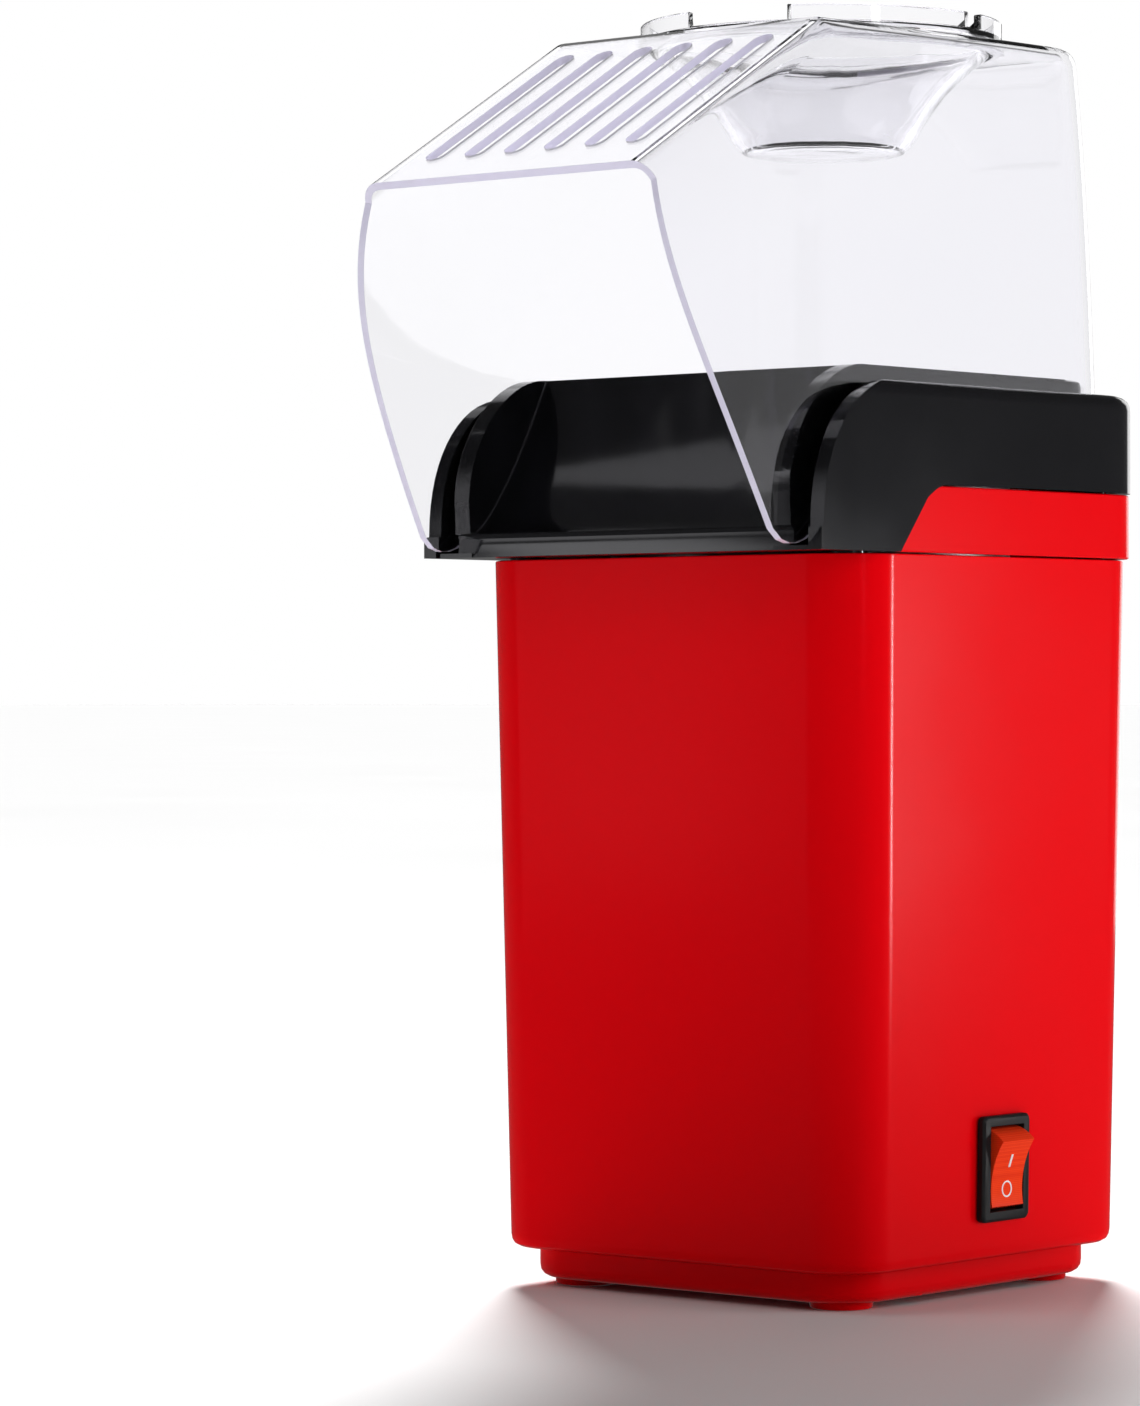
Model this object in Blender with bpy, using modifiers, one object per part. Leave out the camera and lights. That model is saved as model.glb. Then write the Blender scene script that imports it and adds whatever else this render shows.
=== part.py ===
"""A countertop hot-air popcorn maker, as an assembly of separate pieces.

Axes: X across the machine (the switch is on +X), Y from the chute's mouth (-Y) to the back, Z up.
All sizes below are millimetres; place() turns each finished shape into metres. The pieces are drawn
round the machine's vertical axis, which stands BODY_Y behind the object's origin.
"""

import math

import bmesh
import bpy
from mathutils import Matrix, Vector

MM = 0.001
GAP = 0.3  # between two pieces that touch
BODY_Y = 23.1  # the machine's own axis, behind the middle of the whole object

# Red housing: a square tube that tapers a little towards the base
FOOT_H = 1.5
BASE_TOP = 7.6
BODY_BOTTOM = 7.9
BODY_TOP = 151.3
HALF_BOTTOM = 48.2
HALF_TOP = 50.6
BODY_CORNER = 12.0
WALL = 2.2
BASE_HALF = 43.8
BASE_CORNER = 11.5
BASE_FLOOR = 2.4
LIP_INNER = 40.0  # half-width of the hole in the housing's inturned bottom edge
BASE_SCREW = (38.5, 20.0)

# Upper band (red) and collar (black)
BAND_HALF = 51.5
BAND_TOP = 165.0
COLLAR_HALF = 52.0
COLLAR_REAR = 52.5
COLLAR_FRONT = -62.8
COLLAR_BOTTOM = 151.6
COLLAR_TOP = 185.9
COLLAR_INNER = 48.7
COLLAR_CORNER = 14.5

# Chute (black): the pouring arms, the scoop between them, the lip and the throat
CHUTE_HALF = 43.4
CHUTE_REAR = 46.2
CHUTE_TOP = 189.0
CHUTE_FRONT = -63.7
ARM = 4.0
LIP_TOP = 156.4
GROOVE_FLOOR = 152.5
DECK_BOTTOM = 170.6
DECK_TOP = 172.6
THROAT_R = 36.0

# Chute posts, which the housing's corner shelves carry
POST = 42.0
SHELF = (110.0, 113.0)

# Clear cover
ROOF_FRONT = (-98.6, 225.7)
ROOF_REAR_Y = -41.0
COVER_TOP = 258.9
COVER_WALL = 1.6
COVER_BOTTOM = 176.0
COVER_REAR = 48.6
COVER_CORNER = 16.0
COVER_DRAFT = 0.038
COVER_ROUND = 4.0
SLOT_COUNT = 6
SLOT_PITCH = 10.45
SLOT_WIDTH = 4.6
SLOT_FROM = (-88.4, 231.9)
SLOT_TO = (-49.1, 254.3)

# Measuring cup, in the hole of the cover
CUP_Y = 4.0
CUP_RIM_R = 38.0
CUP_TOP = 263.9
CUP_TURN = math.radians(9.5)
HOLE_R = 35.6

# Popping chamber, heater and fan, on the machine's axis
CHAMBER_R = 36.0
CHAMBER_FLOOR = 96.0
CHAMBER_RIM = 167.6
FLANGE_R = 46.0
SLEEVE_R = 42.0
SLEEVE_BOTTOM = 74.3
DUCT_R = 43.8
DUCT_BOTTOM = 44.0
DUCT_PLATE = 2.5
DUCT_POST = 33.0
MOTOR_R = 13.9
MOTOR_BOTTOM = 13.5
SHAFT_R = 1.5
FAN_R = 31.0
FAN_BOTTOM = 50.0
FAN_TOP = 66.0
COIL_R = 29.0

# Rocker switch on the right-hand side
SWITCH_Z = 26.7
BEZEL = (16.2, 21.6)
BEZEL_PROUD = 2.0
ROCKER_R = 8.4
ROCKER_REST = math.radians(11.0)
INLET_Z = 20.0

COLLECTION = bpy.data.collections.new("popcorn_maker")
CUTTERS = bpy.data.collections.new("cutters")


# ---------------------------------------------------------------- materials

MATERIALS = {
    # name: (colour, roughness, metallic, transmission)
    "red_plastic": ((0.60, 0.004, 0.010), 0.28, 0.0, 0.0),
    "black_plastic": ((0.006, 0.006, 0.007), 0.14, 0.0, 0.0),
    "clear_plastic": ((0.95, 0.95, 0.98), 0.03, 0.0, 1.0),
    "rocker_red": ((0.55, 0.01, 0.01), 0.2, 0.0, 0.3),
    "aluminium": ((0.80, 0.80, 0.81), 0.3, 1.0, 0.0),
    "steel": ((0.60, 0.60, 0.62), 0.28, 1.0, 0.0),
    "duct_plastic": ((0.03, 0.03, 0.032), 0.5, 0.0, 0.0),
    "fan_plastic": ((0.86, 0.85, 0.80), 0.45, 0.0, 0.0),
    "mica": ((0.55, 0.45, 0.30), 0.4, 0.0, 0.0),
    "nichrome": ((0.35, 0.33, 0.32), 0.4, 1.0, 0.0),
    "brass": ((0.78, 0.57, 0.24), 0.3, 1.0, 0.0),
    "board": ((0.10, 0.28, 0.10), 0.5, 0.0, 0.0),
    "glass": ((0.9, 0.6, 0.4), 0.05, 0.0, 0.8),
    "rubber": ((0.02, 0.02, 0.02), 0.7, 0.0, 0.0),
    "lead_white": ((0.8, 0.8, 0.78), 0.5, 0.0, 0.0),
    "lead_red": ((0.6, 0.03, 0.03), 0.5, 0.0, 0.0),
    "lead_black": ((0.02, 0.02, 0.02), 0.5, 0.0, 0.0),
}


def material(name):
    found = bpy.data.materials.get(name)
    if found:
        return found
    colour, roughness, metallic, transmission = MATERIALS[name]
    made = bpy.data.materials.new(name)
    made.use_nodes = True
    shader = made.node_tree.nodes["Principled BSDF"]
    shader.inputs["Base Color"].default_value = (*colour, 1.0)
    shader.inputs["Roughness"].default_value = roughness
    shader.inputs["Metallic"].default_value = metallic
    shader.inputs["Transmission Weight"].default_value = transmission
    made.diffuse_color = (*colour, 0.35 if transmission > 0.5 else 1.0)
    return made


# ---------------------------------------------------------------- shapes, drawn in millimetres


def clear_scene():
    for obj in list(bpy.data.objects):
        bpy.data.objects.remove(obj, do_unlink=True)
    bpy.context.scene.collection.children.link(COLLECTION)
    bpy.context.scene.collection.children.link(CUTTERS)
    CUTTERS.hide_render = True


def empty(name, location, parent=None, turn=(0.0, 0.0, 0.0)):
    """A pivot: location in millimetres, in its parent's frame."""
    made = bpy.data.objects.new(name, None)
    made.empty_display_size = 0.01
    made.location = Vector(location) * MM
    made.rotation_euler = turn
    made.parent = parent
    COLLECTION.objects.link(made)
    return made


def place(name, bm, look=None, parent=None, smooth=True):
    """Turns a bmesh in millimetres into an object in metres. Without a look it is a cutter."""
    bmesh.ops.scale(bm, vec=(MM, MM, MM), verts=bm.verts)
    mesh = bpy.data.meshes.new(name)
    bm.to_mesh(mesh)
    bm.free()
    made = bpy.data.objects.new(name, mesh)
    if smooth:
        mesh.shade_smooth()
        mesh.set_sharp_from_angle(angle=math.radians(35))
    if look:
        mesh.materials.append(material(look))
        COLLECTION.objects.link(made)
        made.parent = parent
    else:
        made.hide_render = True
        made.display_type = "WIRE"
        CUTTERS.objects.link(made)
    return made


def add_box(bm, low, high):
    size = Vector(high) - Vector(low)
    middle = (Vector(high) + Vector(low)) / 2
    bmesh.ops.create_cube(bm, size=1.0, matrix=Matrix.Translation(middle) @ Matrix.Diagonal((*size, 1.0)))


def add_cylinder(bm, radius, z0, z1, centre=(0.0, 0.0), segments=24, radius_top=None):
    top = radius if radius_top is None else radius_top
    middle = Matrix.Translation((*centre, (z0 + z1) / 2))
    bmesh.ops.create_cone(
        bm, cap_ends=True, segments=segments, radius1=radius, radius2=top, depth=z1 - z0, matrix=middle
    )


def cylinder(name, radius, z0, z1, look=None, parent=None, centre=(0.0, 0.0), segments=24):
    bm = bmesh.new()
    add_cylinder(bm, radius, z0, z1, centre, segments)
    return place(name, bm, look, parent)


def box(name, low, high, look=None, parent=None):
    bm = bmesh.new()
    add_box(bm, low, high)
    return place(name, bm, look, parent, smooth=False)


def loft(name, sections, look=None, parent=None, ring=False):
    """Skins loops of equally many points. A ring joins the last loop to the first; otherwise the ends are capped."""
    bm = bmesh.new()
    loops = [[bm.verts.new(point) for point in section] for section in sections]
    pairs = list(zip(loops, loops[1:]))
    if ring:
        pairs.append((loops[-1], loops[0]))
    for lower, upper in pairs:
        for i, corner in enumerate(lower):
            j = (i + 1) % len(lower)
            bm.faces.new((corner, lower[j], upper[j], upper[i]))
    if not ring:
        bm.faces.new(reversed(loops[0]))
        bm.faces.new(loops[-1])
    bmesh.ops.recalc_face_normals(bm, faces=bm.faces)
    return place(name, bm, look, parent)


def rounded_rectangle(half_x, y_front, y_rear, corner, z, front_corner=None, steps=5):
    """A loop at height z, anticlockwise from the right-hand front corner."""
    front = corner if front_corner is None else front_corner
    corners = (
        (half_x - front, y_front + front, front, -90),
        (half_x - corner, y_rear - corner, corner, 0),
        (corner - half_x, y_rear - corner, corner, 90),
        (front - half_x, y_front + front, front, 180),
    )
    loop = []
    for x, y, radius, start in corners:
        for i in range(steps + 1):
            angle = math.radians(start + 90 * i / steps)
            loop.append(Vector((x + radius * math.cos(angle), y + radius * math.sin(angle), z)))
    return loop


def square(half, corner, z):
    return rounded_rectangle(half, -half, half, corner, z)


def outline(name, points, low, high, axis="X", look=None, parent=None):
    """A flat outline as a filled curve, given thickness along axis and made a mesh.

    The points are (y, z) for axis X and (x, y) for axis Z.
    """
    curve = bpy.data.curves.new(name, "CURVE")
    curve.dimensions = "2D"
    curve.fill_mode = "BOTH"
    curve.extrude = (high - low) / 2
    spline = curve.splines.new("POLY")
    spline.points.add(len(points) - 1)
    for point, (u, v) in zip(spline.points, points):
        point.co = (u, v, 0.0, 1.0)
    spline.use_cyclic_u = True
    guide = bpy.data.objects.new(name + "_guide", curve)
    CUTTERS.objects.link(guide)
    bpy.context.view_layer.update()
    flat = bpy.data.meshes.new_from_object(guide.evaluated_get(bpy.context.evaluated_depsgraph_get()))
    bpy.data.objects.remove(guide, do_unlink=True)
    bm = bmesh.new()
    bm.from_mesh(flat)
    bpy.data.meshes.remove(flat)
    bmesh.ops.remove_doubles(bm, verts=bm.verts, dist=1e-4)
    middle = (low + high) / 2
    if axis == "X":
        # local x, y, z become y, z, x
        turned_over = Matrix(((0, 0, 1, middle), (1, 0, 0, 0), (0, 1, 0, 0), (0, 0, 0, 1)))
    else:
        turned_over = Matrix.Translation((0, 0, middle))
    bmesh.ops.transform(bm, matrix=turned_over, verts=bm.verts)
    bmesh.ops.recalc_face_normals(bm, faces=bm.faces)
    return place(name, bm, look, parent)


def turned(name, profile, look=None, parent=None, steps=24, matrix=None):
    """A Screw of (radius, z) points. The outer side runs from top to bottom."""
    bm = bmesh.new()
    verts = [bm.verts.new((radius, 0.0, z)) for radius, z in profile]
    for a, b in zip(verts, verts[1:]):
        bm.edges.new((a, b))
    if profile[0][0] > 0:
        bm.edges.new((verts[-1], verts[0]))
    made = place(name, bm, look, parent, smooth=False)
    screw = made.modifiers.new("turn", "SCREW")
    screw.axis = "Z"
    screw.steps = steps
    screw.render_steps = steps
    screw.use_merge_vertices = True
    screw.merge_threshold = 0.00001
    screw.use_smooth_shade = True
    if matrix is not None:
        made.matrix_local = matrix
    return made


def wire(name, points, radius, look, parent=None, sides=2):
    curve = bpy.data.curves.new(name, "CURVE")
    curve.dimensions = "3D"
    curve.bevel_depth = radius * MM
    curve.bevel_resolution = sides
    curve.use_fill_caps = True
    spline = curve.splines.new("POLY")
    spline.points.add(len(points) - 1)
    for point, place_ in zip(spline.points, points):
        point.co = (*(Vector(place_) * MM), 1.0)
    curve.materials.append(material(look))
    made = bpy.data.objects.new(name, curve)
    COLLECTION.objects.link(made)
    made.parent = parent
    return made


def smooth_route(knots, per_span=4):
    """Points on a Catmull-Rom curve through the knots."""
    ends = [knots[0], *knots, knots[-1]]
    route = []
    for a, b, c, d in zip(ends, ends[1:], ends[2:], ends[3:]):
        a, b, c, d = Vector(a), Vector(b), Vector(c), Vector(d)
        for i in range(per_span):
            t = i / per_span
            route.append(
                0.5 * (2 * b + (c - a) * t + (2 * a - 5 * b + 4 * c - d) * t**2 + (3 * b - a - 3 * c + d) * t**3)
            )
    route.append(Vector(knots[-1]))
    return route


def boolean(target, tool, operation):
    tool.parent = target.parent
    tool.hide_render = True
    tool.display_type = "WIRE"
    if tool.name not in CUTTERS.objects:
        COLLECTION.objects.unlink(tool)
        CUTTERS.objects.link(tool)
    modifier = target.modifiers.new(operation.lower(), "BOOLEAN")
    modifier.operation = operation
    modifier.solver = "EXACT"
    modifier.object = tool


def cut(target, tool):
    boolean(target, tool, "DIFFERENCE")


def join(target, tool):
    boolean(target, tool, "UNION")


def screw(name, head_r, head_h, shank_r, length, seat, parent, centre, flip=False):
    """A pan-head screw; the underside of its head is at z = seat, and flip points the head down."""
    profile = [
        (0.0, head_h),
        (head_r * 0.6, head_h),
        (head_r, head_h * 0.5),
        (head_r, 0.0),
        (shank_r, 0.0),
        (shank_r, shank_r - length),
        (0.0, -length),
    ]
    matrix = Matrix.Translation(Vector((*centre, seat)) * MM)
    if flip:
        matrix = matrix @ Matrix.Rotation(math.pi, 4, "X")
    return turned(name, profile, "steel", parent, steps=12, matrix=matrix)


# ---------------------------------------------------------------- red housing


def body_half(z):
    return HALF_BOTTOM + (HALF_TOP - HALF_BOTTOM) * (z - BODY_BOTTOM) / (BODY_TOP - BODY_BOTTOM)


def build_main_housing(root):
    low, high = BODY_BOTTOM, BODY_TOP
    outer = [
        square(HALF_BOTTOM - 2.2, BODY_CORNER - 2.2, low),
        square(HALF_BOTTOM - 0.7, BODY_CORNER - 0.7, low + 0.5),
        square(body_half(low + 2.4), BODY_CORNER, low + 2.4),
        square(body_half(high), BODY_CORNER, high),
    ]
    inner = [
        square(body_half(high) - WALL, BODY_CORNER - WALL, high),
        square(HALF_BOTTOM - WALL, BODY_CORNER - WALL, low + WALL),
        square(LIP_INNER, BODY_CORNER - WALL, low + WALL),
        square(LIP_INNER, BODY_CORNER - WALL, low),
    ]
    housing = loft("main_housing", outer + inner, "red_plastic", root, ring=True)

    bosses = bmesh.new()
    x, y = BASE_SCREW
    for sx in (-1, 1):
        for sy in (-1, 1):
            add_cylinder(bosses, 3.4, low + 0.6, 30.0, (sx * x, sy * y), 12)
    join(housing, place("base_screw_bosses", bosses))

    shelves = loft("corner_shelves", [square(body_half(SHELF[0]) - 1.0, BODY_CORNER - 1.0, z) for z in SHELF])
    join(housing, shelves)
    middle = bmesh.new()
    add_cylinder(middle, 53.0, SHELF[0] - 1, SHELF[1] + 1, segments=48)
    cut(shelves, place("shelf_middle", middle))

    holes = bmesh.new()
    for sx in (-1, 1):
        for sy in (-1, 1):
            add_cylinder(holes, 1.4, low - 1.0, 24.0, (sx * x, sy * y), 8)
            add_cylinder(holes, 1.8, SHELF[0] - 1, SHELF[1] + 1, (sx * POST, sy * POST), 8)
    cut(housing, place("screw_holes", holes))
    cut(
        housing,
        box("switch_window", (40.0, -7.0, SWITCH_Z - 9.9), (60.0, 7.0, SWITCH_Z + 9.9)),
    )
    inlet = bmesh.new()
    add_cylinder(inlet, 6.2, -6.0, 6.0, segments=20)
    bmesh.ops.transform(
        inlet,
        matrix=Matrix.Translation((0, body_half(INLET_Z), INLET_Z)) @ Matrix.Rotation(math.pi / 2, 4, "X"),
        verts=inlet.verts,
    )
    cut(housing, place("inlet_hole", inlet))


def build_upper_band(root):
    low, high = BODY_TOP + GAP, BAND_TOP
    inner = BAND_HALF - WALL
    corner = COLLAR_CORNER - 1.0
    band = loft(
        "upper_band",
        [
            rounded_rectangle(BAND_HALF, -70, BAND_HALF + 0.6, corner, low, 1.0),
            rounded_rectangle(BAND_HALF, -70, BAND_HALF + 0.6, corner, high, 1.0),
            rounded_rectangle(inner, -68, inner + 0.6, corner - WALL, high, 0.5),
            rounded_rectangle(inner, -68, inner + 0.6, corner - WALL, low, 0.5),
        ],
        "red_plastic",
        root,
        ring=True,
    )
    slant = band_slant(0.0)
    cut(band, outline("band_front_cut", [(-90, 140), *slant, (slant[-1][0], 190), (-90, 190)], -60, 60))


def band_slant(shift):
    """The band's slanted front end as (y, z) points, moved forward by shift; it rounds over at the top."""
    start, end = Vector((-41.0, BODY_TOP - 4.0)), Vector((-28.4, 162.6))
    points = [start, end]
    for i in range(1, 5):
        angle = math.radians(i * 12)
        points.append(end + Vector((7.0 * math.sin(angle), (BAND_TOP - end.y) * math.sin(angle * 90 / 48))))
    return [(p.x - shift, p.y) for p in points]


def build_base_cover(root):
    base = loft(
        "base_cover",
        [
            square(BASE_HALF - 2.4, BASE_CORNER - 2.4, FOOT_H),
            square(BASE_HALF - 0.7, BASE_CORNER - 0.7, FOOT_H + 0.7),
            square(BASE_HALF, BASE_CORNER, FOOT_H + 2.4),
            square(BASE_HALF, BASE_CORNER, BASE_TOP),
            square(BASE_HALF - WALL, BASE_CORNER - WALL, BASE_TOP),
            square(BASE_HALF - WALL, BASE_CORNER - WALL, FOOT_H + BASE_FLOOR),
        ],
        "red_plastic",
        root,
    )
    x, y = BASE_SCREW
    for sx in (-1, 1):
        for sy in (-1, 1):
            added = bmesh.new()
            add_cylinder(added, 6.4, 0.0, FOOT_H + 1.0, (sx * 33.6, sy * 33.6), 20)
            join(base, place("foot", added))
            post = bmesh.new()
            add_cylinder(post, 3.6, FOOT_H + 0.5, DUCT_BOTTOM - GAP, (sx * DUCT_POST, sy * DUCT_POST), 12)
            join(base, place("duct_post", post))
            seat = bmesh.new()
            add_cylinder(seat, 4.6, FOOT_H + 0.5, BASE_TOP, (sx * x, sy * y), 12)
            join(base, place("screw_seat", seat))
    holes = bmesh.new()
    for sx in (-1, 1):
        for sy in (-1, 1):
            add_cylinder(holes, 3.4, -1.0, 4.4, (sx * x, sy * y), 12)
            add_cylinder(holes, 1.3, 30.0, 50.0, (sx * DUCT_POST, sy * DUCT_POST), 8)
    cut(base, place("seat_counterbores", holes))
    shanks = bmesh.new()
    for sx in (-1, 1):
        for sy in (-1, 1):
            add_cylinder(shanks, 1.8, 3.0, 12.0, (sx * x, sy * y), 8)
    cut(base, place("seat_holes", shanks))
    grille = bmesh.new()
    for i in range(-4, 5):
        reach = math.sqrt(27.0**2 - (i * 6.0) ** 2)
        for side in (-1, 1):
            ends = sorted((side * 1.5, side * reach))
            if reach > 6.0:
                add_box(grille, (ends[0], i * 6.0 - 1.6, 0.5), (ends[1], i * 6.0 + 1.6, 6.0))
    cut(base, place("intake_slots", grille, smooth=False))


# ---------------------------------------------------------------- black collar and chute


def curved_front(y_front, z_front, y_back, z_top, power=1.0, steps=8):
    """A quarter oval in (y, z), from straight up at the front to level at the top."""
    points = []
    for i in range(steps + 1):
        angle = math.radians(90 * i / steps)
        out, up = max(math.cos(angle), 0.0) ** power, math.sin(angle) ** power
        points.append((y_back + (y_front - y_back) * out, z_front + (z_top - z_front) * up))
    return points


def build_collar(root):
    corner = COLLAR_CORNER
    sections = [
        rounded_rectangle(COLLAR_HALF, COLLAR_FRONT, COLLAR_REAR, corner, COLLAR_BOTTOM, 2.0),
        rounded_rectangle(COLLAR_HALF, COLLAR_FRONT, COLLAR_REAR, corner, COLLAR_TOP - 2.4, 2.0),
        rounded_rectangle(COLLAR_HALF - 0.7, COLLAR_FRONT, COLLAR_REAR - 0.7, corner, COLLAR_TOP - 0.7, 2.0),
        rounded_rectangle(COLLAR_HALF - 2.4, COLLAR_FRONT, COLLAR_REAR - 2.4, corner - 1.5, COLLAR_TOP, 2.0),
        rounded_rectangle(COLLAR_INNER, COLLAR_FRONT, COLLAR_REAR - 3.3, corner - 3.0, COLLAR_TOP, 2.0),
        rounded_rectangle(COLLAR_INNER, COLLAR_FRONT, COLLAR_REAR - 3.3, corner - 3.0, COLLAR_BOTTOM, 2.0),
    ]
    for section in sections[4:]:
        for point in section:
            point.y = max(point.y, -59.0)
    collar = loft("collar", sections, "black_plastic", root, ring=True)
    front = curved_front(COLLAR_FRONT, 156.0, -37.0, COLLAR_TOP + 0.01, 0.93)
    ahead = [(-90, 100), (-90, 210), (front[-1][0], 210), *reversed(front), (-63.5, 156), (-63.5, 100)]
    cut(collar, outline("collar_front_cut", ahead, -60, 60))
    slant = band_slant(GAP)
    top = BAND_TOP + GAP
    lower = [(-41.0 - GAP, 100), *slant[:-1], (slant[-1][0], top), (80, top), (80, 100)]
    cut(collar, outline("band_recess", lower, -60, 60))
    cut(collar, box("collar_front_opening", (-COLLAR_INNER, -80, 100), (COLLAR_INNER, -50, 210)))


def scoop_curve(offset=0.0):
    """The scoop between the arms as (y, z) points, from the rim down to the lip; offset moves it back."""
    top, foot = Vector((-39.0, CHUTE_TOP)), Vector((-61.6, LIP_TOP))
    bulge = Vector((-51.6, 163.5))
    points = []
    for i in range(9):
        t = i / 8
        point = top * (1 - t) ** 2 + bulge * 2 * t * (1 - t) + foot * t**2
        points.append((point.x + offset, point.y - offset * 0.25))
    return points


def build_chute(root):
    base = DECK_BOTTOM
    body = outline(
        "chute",
        [
            (CHUTE_FRONT + 1.4, COLLAR_BOTTOM),
            (CHUTE_FRONT + 1.4, 155.6),
            (CHUTE_FRONT + 0.7, LIP_TOP),
            *curved_front(CHUTE_FRONT, 163.0, -40.0, CHUTE_TOP, 1.1),
            (30.0, CHUTE_TOP),
            (30.0, base),
            (-46.6, base),
            (-46.6, COLLAR_BOTTOM),
        ],
        -CHUTE_HALF,
        CHUTE_HALF,
        look="black_plastic",
        parent=root,
    )
    rear = loft(
        "chute_rear",
        [
            rounded_rectangle(CHUTE_HALF, 10.0, CHUTE_REAR, 13.5, z, 1.0)
            for z in (base, CHUTE_TOP)
        ],
    )
    join(body, rear)
    deck = loft(
        "deck",
        [rounded_rectangle(COLLAR_INNER - 0.4, -36.0, COLLAR_REAR - 3.8, 11.0, z, 1.0) for z in (base, DECK_TOP)],
    )
    join(body, deck)
    side = COLLAR_INNER - GAP
    for sign in (-1, 1):
        x = sorted((sign * (CHUTE_HALF - ARM), sign * side))
        join(body, box("groove_floor", (x[0], COLLAR_FRONT, COLLAR_BOTTOM), (x[1], -35.4, GROOVE_FLOOR)))
        join(body, box("groove_end", (x[0], -36.2, COLLAR_BOTTOM), (x[1], -34.8, DECK_TOP)))
    join(body, turned("throat_ring", [(38.0, base + 1.0), (38.0, 168.0), (THROAT_R - 0.5, 168.0), (THROAT_R - 0.5, base + 1.0)]))

    posts = bmesh.new()
    for sx in (-1, 1):
        for sy in (-1, 1):
            top = base + 0.8 if sy > 0 else GROOVE_FLOOR - 0.2
            add_cylinder(posts, 3.8, SHELF[1] + GAP, top, (sx * POST, sy * POST), 12)
    join(body, place("chute_posts", posts))

    scoop = scoop_curve()
    inner = CHUTE_HALF - ARM
    cut(body, outline("scoop_cut", [*scoop, (-80, LIP_TOP), (-80, 200), (-39.0, 200)], -inner, inner))
    hollow = [point for point in scoop_curve(3.0) if -58.4 < point[0] and point[1] < 185.0]
    behind = [(-58.4, 153.4), *reversed(hollow), (-39.3, 186.0), (-37.4, 186.0), (-37.4, 153.4)]
    cut(body, outline("scoop_hollow", behind, -inner + 0.6, inner - 0.6))

    steps = 10
    top = rounded_rectangle(CHUTE_HALF - 2.4, -36.2, CHUTE_REAR - 2.4, 12.0, CHUTE_TOP + 1.0, 12.0, steps)
    count = len(top)
    start = math.atan2(top[0].y - 4.0, top[0].x)
    circle = [
        Vector((THROAT_R * math.cos(start + 2 * math.pi * i / count), THROAT_R * math.sin(start + 2 * math.pi * i / count), 0))
        for i in range(count)
    ]
    rim = [Vector((p.x, p.y, CHUTE_TOP - 3.0)) for p in top]
    throat = [Vector((p.x, p.y, DECK_TOP + 0.6)) for p in circle]
    floor = [Vector((p.x, p.y, 160.0)) for p in circle]
    cut(body, loft("funnel", [top, rim, throat, floor]))
    holes = bmesh.new()
    for sx in (-1, 1):
        for sy in (-1, 1):
            add_cylinder(holes, 1.3, SHELF[1] - 2, SHELF[1] + 14, (sx * POST, sy * POST), 8)
    cut(body, place("chute_screw_holes", holes))


# ---------------------------------------------------------------- clear cover and cup


def mouth_y(z):
    """The front edge of the cover's side wall: it leans out towards the roof in an easy curve."""
    return ROOF_FRONT[0] + 0.055 * max(0.0, 226.0 - z) ** 1.46


def cover_half(y, z):
    """Half the cover's width: the side wall draws in towards the roof's edge."""
    below = (y - ROOF_FRONT[0]) * 0.5 - (z - ROOF_FRONT[1]) * 0.866
    return 47.2 - 10.6 * math.exp(-max(below, 0.0) / 33.0)


def cover_rear(z):
    return COVER_REAR - COVER_DRAFT * (z - COVER_BOTTOM)


def cover_column(wall_top, bottom_y, bottom_z, path, inward, down, rows):
    """One column of the cover's skin, from its bottom edge up the wall and over the rounded top edge."""
    column = []
    for i in range(rows):
        column.append(path(i / (rows - 1)))
    edge = wall_top
    above = edge + inward * COVER_ROUND
    foot = column[-1]
    for i in range(1, 5):
        t = i / 4
        column.append(foot * (1 - t) ** 2 + edge * 2 * t * (1 - t) + above * t**2)
    return column


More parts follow.
